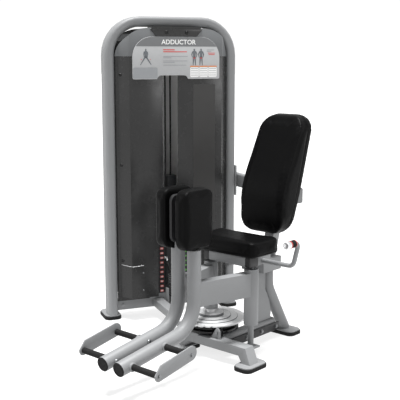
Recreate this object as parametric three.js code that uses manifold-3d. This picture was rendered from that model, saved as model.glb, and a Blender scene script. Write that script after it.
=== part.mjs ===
// A seated hip adductor machine: a weight tower turned towards a seat, two swinging arms with thigh pads
// and foot pegs, a cam on the user's right pivot and a cable from the cam to the weight carriage.
// Millimetres, +Z up. +X is the user's left, +Y is behind the user, X = 0 is the middle of the seat.
import * as THREE from "three";
import { mergeVertices } from "three/addons/utils/BufferGeometryUtils.js";
import Module from "manifold-3d";

const wasm = await Module();
wasm.setup();

// ---------------------------------------------------------------- driving dimensions
const GAP = 0.3; // clearance between pieces that rest on each other
const DEG = Math.PI / 180;

const TOWER = {
  turn: 63.2 * DEG, // the tower's width axis against the seat's X axis
  place: [-707, 351], // middle of the tower's front face on the floor
  width: 813,
  height: 1780,
  tube: [58, 100], // section of the bent frame tube: across, deep
  bend: 191, // centreline radius of the top corners
  baseBeam: { front: 20, back: 70, bottom: 50, top: 110 },
};
const FOOT = { rubber: 20, plate: 6, corner: 34 };
const SHROUD = {
  bottom: 137, top: 1553, side: 348.2, bevel: 284, bulge: 70, wall: 4,
  slot: [-86, 7], window: 119, windowTop: 560, coverTop: 1712, shoulder: 180,
};
const STACK = {
  plates: 15, pitch: 29, gap: 1, bottom: 139, width: 300, depth: 110, middle: 45,
  rodSpacing: 125, rod: 10, taken: 3, yokeTop: 850,
};
const CABLE = { radius: 5, riser: [-61, -38], level: 140, drum: 135, topPulley: 64, floorPulley: 30 };

const PIVOT = { x: 137, y: 44, shaft: 15.5, bore: 16.2, sleeve: 37.5, top: 475 };
const ARM = {
  tube: 35, x: 53, y: -300, top: 827, bend: 160,
  foot: { y: -807, z: 157 }, corner: 237,
  link: { bottom: 340, top: 463, width: 56 },
};
const PEG = { radius: 15, front: [-752, 163], rear: [-540, 203], plateX: 250, plateThick: 8 };
const PAD = {
  seat: 45, // the arm's flat that each pad is bolted to, out from the middle plane
  inner: { left: 20, right: 45 }, thick: 70, front: -403, rear: -192, bottom: 629, top: 926, corner: 44,
};

const BASE = { beamY: -69, beamWide: 66, beamTop: 108, beamBottom: 62, reach: 217, leg: 33 };
const GUIDE = { x: 9, y: -60, z: 137, pitch: 21 }; // small pulley in a bracket on the front beam
const SPINE = { half: 30, bottom: 58, top: 115, end: 400 };
const SEAT = { half: 205, front: -30, rear: 200, bottom: 548, top: 630, corner: 34 };
const SEAT_FRAME = { boxHalf: 70, front: 235, rear: 392, bottom: 405, top: 478 };
const BRACE = { level: 800, tall: 86, deep: 40, from: [-582, 777], to: [105, 505] };
const HANDLE = {
  tube: 12.5, x: 302, y: 225, low: 480, high: 612, elbow: 268, grip: 21, gripFront: 112, gripRear: 186,
};

// ---------------------------------------------------------------- materials
const paint = new THREE.MeshStandardMaterial({ color: 0x85878a, roughness: 0.42, metalness: 0.55 });
const steel = new THREE.MeshStandardMaterial({ color: 0xb9bbbd, roughness: 0.3, metalness: 0.9 });
const castIron = new THREE.MeshStandardMaterial({ color: 0x17181a, roughness: 0.7, metalness: 0.4 });
const shroudPlastic = new THREE.MeshStandardMaterial({ color: 0x343434, roughness: 0.35, metalness: 0 });
const coverPlastic = new THREE.MeshStandardMaterial({ color: 0x7f8284, roughness: 0.5, metalness: 0.1 });
const placardFilm = new THREE.MeshStandardMaterial({ color: 0xaeafb0, roughness: 0.4, metalness: 0 });
const vinyl = new THREE.MeshStandardMaterial({ color: 0x101011, roughness: 0.5, metalness: 0 });
const rubber = new THREE.MeshStandardMaterial({ color: 0x141414, roughness: 0.8, metalness: 0 });

// ---------------------------------------------------------------- solids
// A closed three.js geometry as a manifold solid.
function solid(geometry) {
  const bare = new THREE.BufferGeometry();
  bare.setAttribute("position", geometry.getAttribute("position"));
  if (geometry.index) bare.setIndex(geometry.index);
  const merged = mergeVertices(bare, 1e-3);
  return new wasm.Manifold(
    new wasm.Mesh({
      numProp: 3,
      vertProperties: merged.attributes.position.array,
      triVerts: new Uint32Array(merged.index.array),
    }),
  );
}

function geometryOf(body) {
  const mesh = body.getMesh();
  const geometry = new THREE.BufferGeometry();
  geometry.setAttribute("position", new THREE.BufferAttribute(mesh.vertProperties, 3));
  geometry.setIndex(new THREE.BufferAttribute(mesh.triVerts, 1));
  return geometry;
}

const join = (...parts) => geometryOf(parts.map(solid).reduce((a, b) => a.add(b)));

const cut = (first, ...parts) => geometryOf(parts.map(solid).reduce((a, b) => a.subtract(b), solid(first)));

const common = (a, b) => geometryOf(solid(a).intersect(solid(b)));

function box([x0, x1], [y0, y1], [z0, z1]) {
  const geometry = new THREE.BoxGeometry(x1 - x0, y1 - y0, z1 - z0);
  return geometry.translate((x0 + x1) / 2, (y0 + y1) / 2, (z0 + z1) / 2);
}

// A cylinder from one point to another.
function rod(radius, from, to, sides = 20) {
  const a = new THREE.Vector3(...from);
  const along = new THREE.Vector3(...to).sub(a);
  const geometry = new THREE.CylinderGeometry(radius, radius, along.length(), sides);
  geometry.translate(0, along.length() / 2, 0);
  const up = new THREE.Vector3(0, 1, 0);
  geometry.applyQuaternion(new THREE.Quaternion().setFromUnitVectors(up, along.normalize()));
  return geometry.translate(...from);
}

function roundedRect(wide, deep, radius, middle = [0, 0]) {
  const shape = new THREE.Shape();
  const [x0, y0] = [middle[0] - wide / 2, middle[1] - deep / 2];
  const [x1, y1] = [x0 + wide, y0 + deep];
  shape.moveTo(x0 + radius, y0);
  shape.lineTo(x1 - radius, y0).absarc(x1 - radius, y0 + radius, radius, -Math.PI / 2, 0);
  shape.lineTo(x1, y1 - radius).absarc(x1 - radius, y1 - radius, radius, 0, Math.PI / 2);
  shape.lineTo(x0 + radius, y1).absarc(x0 + radius, y1 - radius, radius, Math.PI / 2, Math.PI);
  shape.lineTo(x0, y0 + radius).absarc(x0 + radius, y0 + radius, radius, Math.PI, Math.PI * 1.5);
  return shape;
}

const outline = (points) => new THREE.Shape(points.map(([x, y]) => new THREE.Vector2(x, y)));

// A shape drawn in plan, raised from z0 to z1.
function upright(shape, z0, z1, curveSegments = 5) {
  const geometry = new THREE.ExtrudeGeometry(shape, { depth: z1 - z0, bevelEnabled: false, curveSegments });
  return geometry.translate(0, 0, z0);
}

// A shape drawn in the (Y, Z) plane, spread from x0 to x1.
function sideways(shape, x0, x1, curveSegments = 5) {
  const geometry = new THREE.ExtrudeGeometry(shape, { depth: x1 - x0, bevelEnabled: false, curveSegments });
  const turn = new THREE.Matrix4().makeBasis(
    new THREE.Vector3(0, 1, 0), new THREE.Vector3(0, 0, 1), new THREE.Vector3(1, 0, 0),
  );
  return geometry.applyMatrix4(turn).translate(x0, 0, 0);
}

// A shape drawn in the (X, Z) plane, spread from y0 back to y1.
function backwards(shape, y0, y1, curveSegments = 5) {
  const geometry = new THREE.ExtrudeGeometry(shape, { depth: y1 - y0, bevelEnabled: false, curveSegments });
  return geometry.rotateX(Math.PI / 2).translate(0, y1, 0);
}

// A block with soft edges, for upholstery: a plan outline with bevelled top and bottom.
function cushionBlock(shape, thickness, edge) {
  const geometry = new THREE.ExtrudeGeometry(shape, {
    depth: thickness - 2 * edge, bevelEnabled: true, bevelThickness: edge, bevelSize: edge,
    bevelOffset: -edge, bevelSegments: 2, curveSegments: 4,
  });
  return geometry.translate(0, 0, edge);
}

// A path of straight runs joined by bends of one radius, sampled only where its direction changes.
class BentPath extends THREE.Curve {
  constructor(corners, radius, bendSteps = 6) {
    super();
    const points = corners.map((corner) => new THREE.Vector3(...corner));
    this.stations = [];
    points.forEach((point, i) => {
      const before = points[i - 1];
      const after = points[i + 1];
      if (!before || !after) {
        const tangent = before ? point.clone().sub(before) : after.clone().sub(point);
        this.stations.push({ point, tangent: tangent.normalize() });
        return;
      }
      const into = point.clone().sub(before).normalize();
      const out = after.clone().sub(point).normalize();
      const angle = into.angleTo(out);
      const start = point.clone().addScaledVector(into, -radius * Math.tan(angle / 2));
      const inward = out.clone().addScaledVector(into, -out.dot(into)).normalize();
      for (let k = 0; k <= bendSteps; k++) {
        const t = (angle * k) / bendSteps;
        const on = start.clone().addScaledVector(into, radius * Math.sin(t));
        on.addScaledVector(inward, radius * (1 - Math.cos(t)));
        const tangent = into.clone().multiplyScalar(Math.cos(t)).addScaledVector(inward, Math.sin(t));
        this.stations.push({ point: on, tangent });
      }
    });
  }
  get steps() {
    return this.stations.length - 1;
  }
  getPointAt(u) {
    return this.stations[Math.round(u * this.steps)].point.clone();
  }
  getTangentAt(u) {
    return this.stations[Math.round(u * this.steps)].tangent.clone();
  }
}

// A bar with the given section, bent along corners.
function bentBar(section, corners, radius, bendSteps, curveSegments = 4) {
  const path = new BentPath(corners, radius, bendSteps);
  return new THREE.ExtrudeGeometry(section, { steps: path.steps, extrudePath: path, curveSegments });
}

function circle(radius, sides) {
  const points = [];
  for (let i = 0; i < sides; i++) {
    const t = (i / sides) * 2 * Math.PI;
    points.push([radius * Math.cos(t), radius * Math.sin(t)]);
  }
  return outline(points);
}

const roundTube = (radius, corners, bend, bendSteps = 6, sides = 16) =>
  bentBar(circle(radius, sides), corners, bend, bendSteps);

// A ring or grooved wheel from a closed (radius, height) profile, about Z.
function turned(profile, sides = 32) {
  const points = [...profile, profile[0]].map(([r, z]) => new THREE.Vector2(r, z));
  return new THREE.LatheGeometry(points, sides).rotateX(Math.PI / 2);
}

// A grooved pulley about the X axis.
function pulley(pitch, bore, wide) {
  const rim = pitch + CABLE.radius;
  const half = wide / 2;
  const groove = pitch - CABLE.radius - 1.5;
  const floor = CABLE.radius + 0.8;
  const profile = [
    [bore, -half], [rim, -half], [rim, -half + 1.5], [groove, -floor], [groove, floor], [rim, half - 1.5],
    [rim, half], [bore, half],
  ];
  return turned(profile, 20).rotateY(Math.PI / 2);
}

// ---------------------------------------------------------------- scene graph
const machine = new THREE.Group();
const tower = new THREE.Group();
tower.position.set(TOWER.place[0], TOWER.place[1], 0);
tower.rotation.z = TOWER.turn;
machine.add(tower);

function piece(parent, name, geometry, material) {
  const mesh = new THREE.Mesh(geometry, material);
  mesh.name = name;
  parent.add(mesh);
  return mesh;
}

function mirroredPiece(parent, name, geometry, material) {
  piece(parent, name, geometry, material).scale.x = -1;
}

// Both hands of a piece drawn on the user's left.
function pair(name, geometry, material) {
  piece(machine, name + "_left", geometry, material);
  mirroredPiece(machine, name + "_right", geometry.clone(), material);
}

// A foot: a steel plate welded to the frame above a rubber pad.
const footOutline = (long, wide, middle) => roundedRect(wide, long, FOOT.corner, middle);

const footPlate = (long, wide, middle) =>
  upright(footOutline(long, wide, middle), FOOT.rubber + GAP, FOOT.rubber + FOOT.plate, 4);

const footRubber = (long, wide, middle) => upright(footOutline(long + 8, wide + 8, middle), 0, FOOT.rubber, 4);

// ---------------------------------------------------------------- tower frame
const postX = TOWER.width / 2 - TOWER.tube[0] / 2;
const postY = TOWER.tube[1] / 2;
const towerFoot = { long: 162, wide: 94, y: 78 };

function towerFrame() {
  const top = TOWER.height - TOWER.tube[0] / 2;
  const floor = FOOT.rubber + FOOT.plate - 1;
  const section = roundedRect(TOWER.tube[1], TOWER.tube[0], 20);
  const corners = [[-postX, postY, floor], [-postX, postY, top], [postX, postY, top], [postX, postY, floor]];
  const arch = bentBar(section, corners, TOWER.bend, 8, 3);
  const plates = [-postX, postX].map((x) => footPlate(towerFoot.long, towerFoot.wide, [x, towerFoot.y]));
  return join(arch, ...plates);
}

piece(tower, "tower_arch", towerFrame(), paint);
for (const [side, x] of [["left", -postX], ["right", postX]]) {
  piece(tower, "foot_pad_tower_" + side, footRubber(towerFoot.long, towerFoot.wide, [x, towerFoot.y]), rubber);
}

const insideX = postX - TOWER.tube[0] / 2 - GAP;
const base = TOWER.baseBeam;
const stackSeat = [STACK.middle - STACK.depth / 2, STACK.middle + STACK.depth / 2];
piece(
  tower, "tower_base_beam",
  join(
    box([-insideX, insideX], [base.front, base.back], [base.bottom, base.top]),
    box([-STACK.width / 2, STACK.width / 2], stackSeat, [base.top - 1, STACK.bottom - GAP]),
  ),
  paint,
);
// The top beam's ends slope to meet the inside of the bends.
const topBeam = { bottom: 1640, top: 1680 };
const bendReach = (z) => {
  const inner = TOWER.bend - TOWER.tube[0] / 2;
  const rise = z - (TOWER.height - TOWER.tube[0] / 2 - TOWER.bend);
  return postX - TOWER.bend + Math.sqrt(inner ** 2 - rise ** 2) - 2;
};
const [lowReach, highReach] = [bendReach(topBeam.bottom), bendReach(topBeam.top)];
piece(
  tower, "tower_top_beam",
  backwards(
    outline([
      [-lowReach, topBeam.bottom], [lowReach, topBeam.bottom], [highReach, topBeam.top], [-highReach, topBeam.top],
    ]),
    STACK.middle - 20, STACK.middle + 20,
  ),
  paint,
);

// ---------------------------------------------------------------- shrouds and placard
// Half of the shroud's plan, from the post to the inner edge, as a band of the shroud's wall thickness.
function shroudBand(side, inner, bulge) {
  const { side: edge, bevel, wall } = SHROUD;
  return outline([
    [side * edge, 12], [side * (edge - 14), 2], [side * bevel, -bulge], [inner, -bulge],
    [inner, wall - bulge], [side * (bevel - 2), wall - bulge], [side * (edge - 16), 2 + wall],
    [side * (edge - wall), 14],
  ]);
}

function frontShroud(side) {
  const inner = side < 0 ? SHROUD.slot[0] : SHROUD.slot[1];
  const panel = upright(shroudBand(side, inner, SHROUD.bulge), SHROUD.bottom, SHROUD.top);
  const edge = side * SHROUD.window;
  const opening = box(
    [Math.min(edge, side * -200), Math.max(edge, side * -200)], [-100, 0],
    [SHROUD.bottom - 10, SHROUD.windowTop],
  );
  return cut(panel, opening);
}

piece(tower, "front_shroud_left", frontShroud(-1), shroudPlastic);
piece(tower, "front_shroud_right", frontShroud(1), shroudPlastic);

// The outline under the bent tube, from a level up to the round-shouldered top.
function coverArch(low) {
  const { side: edge, coverTop, shoulder: round } = SHROUD;
  const arch = new THREE.Shape();
  arch.moveTo(-edge, low);
  arch.lineTo(edge, low);
  arch.lineTo(edge, coverTop - round);
  arch.absarc(edge - round, coverTop - round, round, 0, Math.PI / 2);
  arch.lineTo(round - edge, coverTop);
  arch.absarc(round - edge, coverTop - round, round, Math.PI / 2, Math.PI);
  return arch;
}

const rearFace = TOWER.tube[1];
const rearBand = outline([
  [-SHROUD.side, rearFace - 20], [-SHROUD.side, rearFace - 6], [-SHROUD.bevel, rearFace + 40],
  [SHROUD.bevel, rearFace + 40], [SHROUD.side, rearFace - 6], [SHROUD.side, rearFace - 20],
  [SHROUD.side - 4, rearFace - 20], [SHROUD.side - 4, rearFace - 9], [SHROUD.bevel - 2, rearFace + 36],
  [2 - SHROUD.bevel, rearFace + 36], [4 - SHROUD.side, rearFace - 9], [4 - SHROUD.side, rearFace - 20],
]);
piece(
  tower, "rear_shroud",
  common(upright(rearBand, SHROUD.bottom, SHROUD.coverTop), backwards(coverArch(SHROUD.bottom), 0, 200, 8)),
  shroudPlastic,
);

// The moulded cover above the panels: the shroud's plan, closed in, under a top that follows the bent tube.
function topCover() {
  const { side: edge, bevel, bulge, bottom, top, coverTop, wall } = SHROUD;
  const plan = outline([
    [edge, 12], [edge - 14, 2], [bevel, -bulge], [-bevel, -bulge], [14 - edge, 2], [-edge, 12],
    [4 - edge, 14], [16 - edge, 2 + wall], [2 - bevel, wall - bulge], [bevel - 2, wall - bulge],
    [edge - 16, 2 + wall], [edge - 4, 14],
  ]);
  const low = top + GAP;
  const roofPlan = outline([
    [edge, 12], [edge - 14, 2], [bevel, -bulge], [-bevel, -bulge], [14 - edge, 2], [-edge, 12],
  ]);
  const shell = upright(plan, low, coverTop + 5);
  const roof = upright(roofPlan, coverTop - 6, coverTop + 5);
  return common(join(shell, roof), backwards(coverArch(bottom), -100, 60, 8));
}

piece(tower, "top_cover", topCover(), coverPlastic);

function placardOutline() {
  const [half, low, high, round] = [266, 1424, 1664, 118];
  const shape = new THREE.Shape();
  shape.moveTo(-half, low + 12);
  shape.quadraticCurveTo(-half, low, -half + 12, low);
  shape.lineTo(-121, low);
  shape.quadraticCurveTo(-112, low + 20, -96, low + 21);
  shape.lineTo(46, low + 21);
  shape.quadraticCurveTo(62, low + 20, 70, low);
  shape.lineTo(half - 12, low);
  shape.quadraticCurveTo(half, low, half, low + 12);
  shape.lineTo(half, high - round);
  shape.absarc(half - round, high - round, round, 0, Math.PI / 2);
  shape.lineTo(round - half, high);
  shape.absarc(round - half, high - round, round, Math.PI / 2, Math.PI);
  return shape;
}

const placardBack = -SHROUD.bulge - GAP;
piece(tower, "placard", backwards(placardOutline(), placardBack - 5, placardBack, 6), placardFilm);
piece(
  tower, "placard_bracket",
  backwards(outline([[-125, 1666], [125, 1666], [160, 1706], [-160, 1706]]), placardBack - 6, placardBack),
  castIron,
);

// ---------------------------------------------------------------- weight stack
const rodTop = topBeam.bottom - GAP;
const onSeat = STACK.bottom;
for (const [side, x] of [["left", -1], ["right", 1]]) {
  const at = x * STACK.rodSpacing;
  piece(
    tower, "guide_rod_" + side,
    rod(STACK.rod, [at, STACK.middle, onSeat], [at, STACK.middle, rodTop], 12), steel,
  );
}

// Bores for the guide rods and the selector stem through a block of plates.
function plateBores(z0, z1) {
  const bores = [-1, 1].map((side) => {
    const x = side * STACK.rodSpacing;
    return rod(STACK.rod + 3, [x, STACK.middle, z0 - 1], [x, STACK.middle, z1 + 1], 12);
  });
  return [...bores, rod(17, [0, STACK.middle, z0 - 1], [0, STACK.middle, z1 + 1], 14)];
}

const plateBody = (z0, z1) => box([-STACK.width / 2, STACK.width / 2], stackSeat, [z0, z1]);
const pinHole = (z0, z1) => rod(6, [0, stackSeat[0] - 1, (z0 + z1) / 2], [0, STACK.middle, (z0 + z1) / 2], 8);

const plateBottom = (n) => STACK.bottom + (STACK.plates - n) * STACK.pitch;
const resting = STACK.plates - STACK.taken;

// The plates that stay down are drawn as one pile, with shallow grooves where they meet.
function restingPlates() {
  const top = plateBottom(STACK.taken + 1) + STACK.pitch - STACK.gap;
  const inset = 3;
  const core = box(
    [inset - STACK.width / 2, STACK.width / 2 - inset], [stackSeat[0] + inset, stackSeat[1] - inset],
    [STACK.bottom, top],
  );
  const plates = [];
  const holes = [];
  for (let n = STACK.taken + 1; n <= STACK.plates; n++) {
    const [z0, z1] = [plateBottom(n), plateBottom(n) + STACK.pitch - STACK.gap];
    plates.push(plateBody(z0, z1));
    holes.push(pinHole(z0, z1));
  }
  return cut(join(core, ...plates), ...holes, ...plateBores(STACK.bottom, top));
}

piece(tower, "weight_stack_lower", restingPlates(), castIron);
for (let n = 1; n <= STACK.taken; n++) {
  const z = plateBottom(n);
  const top = z + STACK.pitch - STACK.gap;
  piece(tower, "weight_plate_" + n, cut(plateBody(z, top), pinHole(z, top), ...plateBores(z, top)), castIron);
}

// The head plate, its tall yoke and the cable clamp. The yoke is a tube, open at the top, around the cable.
const headBottom = plateBottom(0);
const headTop = headBottom + 34;
piece(
  tower, "head_plate", cut(plateBody(headBottom, headTop), ...plateBores(headBottom, headTop)), castIron,
);

const yokeFoot = headTop + GAP;
const yokeBore = CABLE.radius + 3;
piece(
  tower, "head_yoke",
  cut(
    join(
      box([-32, 32], [STACK.middle - 28, STACK.middle + 28], [yokeFoot, yokeFoot + 12]),
      box([-24, 24], [STACK.middle - 20, STACK.middle + 20], [yokeFoot, STACK.yokeTop - 60]),
      box([-29, 29], [STACK.middle - 24, STACK.middle + 24], [STACK.yokeTop - 90, STACK.yokeTop]),
    ),
    rod(yokeBore, [0, STACK.middle, yokeFoot - 1], [0, STACK.middle, STACK.yokeTop + 1], 12),
  ),
  castIron,
);

const stemBottom = STACK.bottom + 4;
piece(
  tower, "selector_stem",
  cut(
    rod(14, [0, STACK.middle, stemBottom], [0, STACK.middle, yokeFoot - GAP], 16),
    rod(yokeBore, [0, STACK.middle, stemBottom - 1], [0, STACK.middle, yokeFoot + 1], 12),
    rod(5.5, [0, STACK.middle - 20, plateBottom(STACK.taken) + 14], [0, STACK.middle, plateBottom(STACK.taken) + 14], 10),
  ),
  steel,
);

const pinLevel = plateBottom(STACK.taken) + (STACK.pitch - STACK.gap) / 2;
piece(
  tower, "selector_pin",
  join(
    rod(4.5, [0, -24, pinLevel], [0, STACK.middle - 9, pinLevel], 10),
    rod(11, [0, -46, pinLevel], [0, -24, pinLevel], 14),
  ),
  steel,
);

// ---------------------------------------------------------------- cable and its pulleys
// Tower coordinates of a point given in seat coordinates.
function inTower([x, y]) {
  const [dx, dy] = [x - TOWER.place[0], y - TOWER.place[1]];
  const [c, s] = [Math.cos(TOWER.turn), Math.sin(TOWER.turn)];
  return new THREE.Vector2(c * dx + s * dy, c * dy - s * dx);
}

const riser = new THREE.Vector2(...CABLE.riser);
const drumCentre = inTower([-PIVOT.x, PIVOT.y]);

// The horizontal run leaves the riser and touches the drum on its far side from the connecting beam.
function drumTangent() {
  const toDrum = drumCentre.clone().sub(riser);
  const swing = Math.asin(CABLE.drum / toDrum.length());
  const heading = toDrum.angle() + swing;
  const run = Math.sqrt(toDrum.lengthSq() - CABLE.drum ** 2);
  return { heading, end: new THREE.Vector2(Math.cos(heading), Math.sin(heading)).multiplyScalar(run).add(riser) };
}

const tangent = drumTangent();
const carried = new THREE.Vector2(0, STACK.middle);
const topSpan = carried.clone().sub(riser);
const topPitch = topSpan.length() / 2;
const topCentre = carried.clone().add(riser).multiplyScalar(0.5);
const topLevel = 1560;
const floorLevel = CABLE.level + CABLE.floorPulley;

function liftCable() {
  const path = new BentPath([[0, 0, 0], [0, 0, 1]], 1, 1);
  path.stations = [];
  const add = (x, y, z, tangentVector) =>
    path.stations.push({ point: new THREE.Vector3(x, y, z), tangent: tangentVector.clone().normalize() });
  const up = new THREE.Vector3(0, 0, 1);
  const across = new THREE.Vector3(topSpan.x, topSpan.y, 0).normalize().negate();
  add(carried.x, carried.y, STACK.yokeTop - 40, up);
  for (let k = 0; k <= 10; k++) {
    const t = (Math.PI * k) / 10;
    const on = new THREE.Vector3(topCentre.x, topCentre.y, topLevel)
      .addScaledVector(across, -topPitch * Math.cos(t)).addScaledVector(up, topPitch * Math.sin(t));
    add(on.x, on.y, on.z, across.clone().multiplyScalar(Math.sin(t)).addScaledVector(up, Math.cos(t)));
  }
  const away = new THREE.Vector3(Math.cos(tangent.heading), Math.sin(tangent.heading), 0);
  for (let k = 0; k <= 5; k++) {
    const t = (Math.PI / 2) * (k / 5);
    const r = CABLE.floorPulley;
    const on = new THREE.Vector3(riser.x, riser.y, floorLevel)
      .addScaledVector(away, r * (1 - Math.cos(t))).addScaledVector(up, -r * Math.sin(t));
    add(on.x, on.y, on.z, away.clone().multiplyScalar(Math.sin(t)).addScaledVector(up, -Math.cos(t)));
  }
  add(tangent.end.x, tangent.end.y, CABLE.level, away);
  return new THREE.ExtrudeGeometry(circle(CABLE.radius, 8), { steps: path.steps, extrudePath: path });
}

piece(tower, "lift_cable", liftCable(), rubber);

const pulleyWide = 18;
const axle = 6;
function placedPulley(pitch, centre, level, heading) {
  const wheel = pulley(pitch, axle + 0.5, pulleyWide);
  return wheel.rotateZ(heading - Math.PI / 2).translate(centre.x, centre.y, level);
}
const topHeading = Math.atan2(topSpan.y, topSpan.x);
const floorCentre = riser.clone().add(
  new THREE.Vector2(Math.cos(tangent.heading), Math.sin(tangent.heading)).multiplyScalar(CABLE.floorPulley),
);
piece(tower, "top_pulley", placedPulley(topPitch, topCentre, topLevel, topHeading), castIron);
piece(
  tower, "floor_pulley", placedPulley(CABLE.floorPulley, floorCentre, floorLevel, tangent.heading), castIron,
);

// A fork: an axle and two cheeks joined by a bridge, drawn about the origin with the axle along X.
function fork(cheek, low, high, bridge) {
  const inner = pulleyWide / 2 + 1.5;
  const outer = inner + 5;
  return join(
    rod(axle, [-outer, 0, 0], [outer, 0, 0], 12),
    box([-outer, -inner], cheek, [low, high]),
    box([inner, outer], cheek, [low, high]),
    box([-outer, outer], cheek, bridge),
  );
}
piece(
  tower, "top_pulley_bracket",
  fork([-16, 16], -16, topBeam.bottom - GAP - topLevel, [topPitch + 12, topBeam.bottom - GAP - topLevel])
    .rotateZ(topHeading - Math.PI / 2).translate(topCentre.x, topCentre.y, topLevel),
  paint,
);
const forkDrop = base.bottom - floorLevel;
piece(
  tower, "floor_pulley_bracket",
  join(
    fork([-14, 14], forkDrop, 14, [forkDrop, forkDrop + 8])
      .rotateZ(tangent.heading - Math.PI / 2).translate(floorCentre.x, floorCentre.y, floorLevel),
    box([riser.x - 6, riser.x + 26], [floorCentre.y, base.front - GAP], [base.bottom, base.bottom + 8]),
  ),
  paint,
);

// ---------------------------------------------------------------- base frame
const beamFront = BASE.beamY - BASE.beamWide / 2;
const beamBack = BASE.beamY + BASE.beamWide / 2;
const frontFoot = { long: 164, wide: 100, x: 226 };

function frontBeam() {
  const { reach, leg, beamTop, beamBottom } = BASE;
  const floor = FOOT.rubber + FOOT.plate - 1;
  const legInner = reach - 20;
  const beam = outline([
    [-reach, beamTop], [-reach - leg, floor], [-legInner, floor], [24 - legInner, beamBottom],
    [legInner - 24, beamBottom], [legInner, floor], [reach + leg, floor], [reach, beamTop],
  ]);
  const plates = [-1, 1].map((side) => footPlate(frontFoot.long, frontFoot.wide, [side * frontFoot.x, BASE.beamY]));
  const leftShelf = box([104, 172], [beamBack - 1, PIVOT.y + 34], [beamBottom, beamBottom + 8]);
  const rightShelf = box([-176, -100], [beamFront, PIVOT.y + 34], [beamTop - 0.2, beamTop + 8]);
  const { x, y, z } = GUIDE;
  const gusset = outline([
    [x - 36, beamTop - 1], [x - 36, beamTop + 6], [x - 4, z + 27], [x + 8, z + 27], [x + 21, z + 10],
    [x + 21, beamTop - 1],
  ]);
  const bracket = backwards(gusset, y - 17, y - 10);
  const pin = rod(axle, [x, y - 12, z], [x, y + 12, z], 12);
  return join(backwards(beam, beamFront, beamBack), ...plates, leftShelf, rightShelf, bracket, pin);
}

piece(machine, "front_beam", frontBeam(), paint);
piece(
  machine, "guide_pulley",
  pulley(GUIDE.pitch, axle + 0.5, 14).rotateZ(Math.PI / 2).translate(GUIDE.x, GUIDE.y, GUIDE.z), castIron,
);
for (const [side, sign] of [["left", 1], ["right", -1]]) {
  piece(
    machine, "foot_pad_front_" + side,
    footRubber(frontFoot.long, frontFoot.wide, [sign * frontFoot.x, BASE.beamY]), rubber,
  );
}

// The beam that ties the tower to the seat frame, square to the tower and cut off along the front beam.
function linkBeam() {
  const body = box([-131, -74], [-740, base.front - GAP], [BASE.beamBottom - 2, BASE.beamTop - GAP]);
  body.rotateZ(TOWER.turn).translate(TOWER.place[0], TOWER.place[1], 0);
  return cut(body, box([-600, 600], [-900, beamBack + GAP], [0, 200]));
}
piece(machine, "link_beam", linkBeam(), paint);

const spineSection = roundedRect(SPINE.top - SPINE.bottom, 2 * SPINE.half, 22);
piece(
  machine, "spine_beam",
  bentBar(
    spineSection,
    [[0, beamBack + GAP, (SPINE.top + SPINE.bottom) / 2], [0, SPINE.end, (SPINE.top + SPINE.bottom) / 2]], 1,
  ),
  paint,
);

const legRadius = 33;
const rearFoot = { long: 104, wide: 192, y: 512 };
function rearLeg() {
  const path = [[0, 360, SEAT_FRAME.bottom - GAP], [0, 360, 300], [0, 522, FOOT.rubber + FOOT.plate - 2]];
  const tube = roundTube(legRadius, path, 150, 5, 18);
  const floor = box([-200, 200], [300, 700], [-60, FOOT.rubber + FOOT.plate - 1]);
  return cut(
    join(cut(tube, floor), footPlate(rearFoot.long, rearFoot.wide, [0, rearFoot.y])),
    box([-SPINE.half - GAP, SPINE.half + GAP], [300, SPINE.end + GAP], [SPINE.bottom - GAP, SPINE.top + GAP]),
  );
}
piece(machine, "rear_leg", rearLeg(), paint);
piece(machine, "foot_pad_rear", footRubber(rearFoot.long, rearFoot.wide, [0, rearFoot.y]), rubber);

piece(
  machine, "side_bar",
  box([SPINE.half + GAP, SPINE.half + GAP + 8], [beamBack + 8, 422], [45, 90]), castIron,
);

// The web that carries the seat frame, behind the cam.
function seatWeb() {
  const web = outline([
    [205, SPINE.top + GAP], [205, SEAT_FRAME.bottom - GAP], [326, SEAT_FRAME.bottom - GAP], [326, 292],
    [362, 222], [378, 160], [372, SPINE.top + GAP],
  ]);
  return sideways(web, -16, 16);
}
const legRelief = roundTube(
  legRadius + GAP,
  [[0, 360, SEAT_FRAME.bottom + 20], [0, 360, 300], [0, 522, FOOT.rubber]], 150, 5, 18,
);
piece(machine, "seat_web", cut(seatWeb(), legRelief), paint);

const crossTube = { half: 150, y: 44, deep: 68, bottom: 490, top: 546 };
const crossBack = crossTube.y + crossTube.deep / 2;
piece(
  machine, "cross_tube",
  bentBar(
    roundedRect(crossTube.top - crossTube.bottom, crossTube.deep, 12),
    [[-crossTube.half, crossTube.y, 518], [crossTube.half, crossTube.y, 518]], 1,
  ),
  paint,
);
piece(
  machine, "seat_frame",
  join(
    box([-SEAT_FRAME.boxHalf, SEAT_FRAME.boxHalf], [SEAT_FRAME.front, SEAT_FRAME.rear], [SEAT_FRAME.bottom, SEAT_FRAME.top]),
    ...[-1, 1].map((side) => {
      const [near, far] = [side * 44, side * SEAT_FRAME.boxHalf].sort((a, b) => a - b);
      return box([near, far], [crossBack + GAP, SEAT_FRAME.front + 60], [SEAT_FRAME.top - 20, crossTube.top]);
    }),
  ),
  paint,
);

// ---------------------------------------------------------------- pivots and cam
for (const [side, x, foot] of [["left", PIVOT.x, BASE.beamBottom + 8], ["right", -PIVOT.x, BASE.beamTop + 8]]) {
  piece(
    machine, "pivot_shaft_" + side,
    rod(PIVOT.shaft, [x, PIVOT.y, foot + GAP], [x, PIVOT.y, crossTube.bottom - GAP], 24), steel,
  );
}

const cam = { foot: BASE.beamTop + 8 + 1.5, drum: 150, plateFoot: 166, rim: 185, hub: 23, hubTop: 216 };

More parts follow.
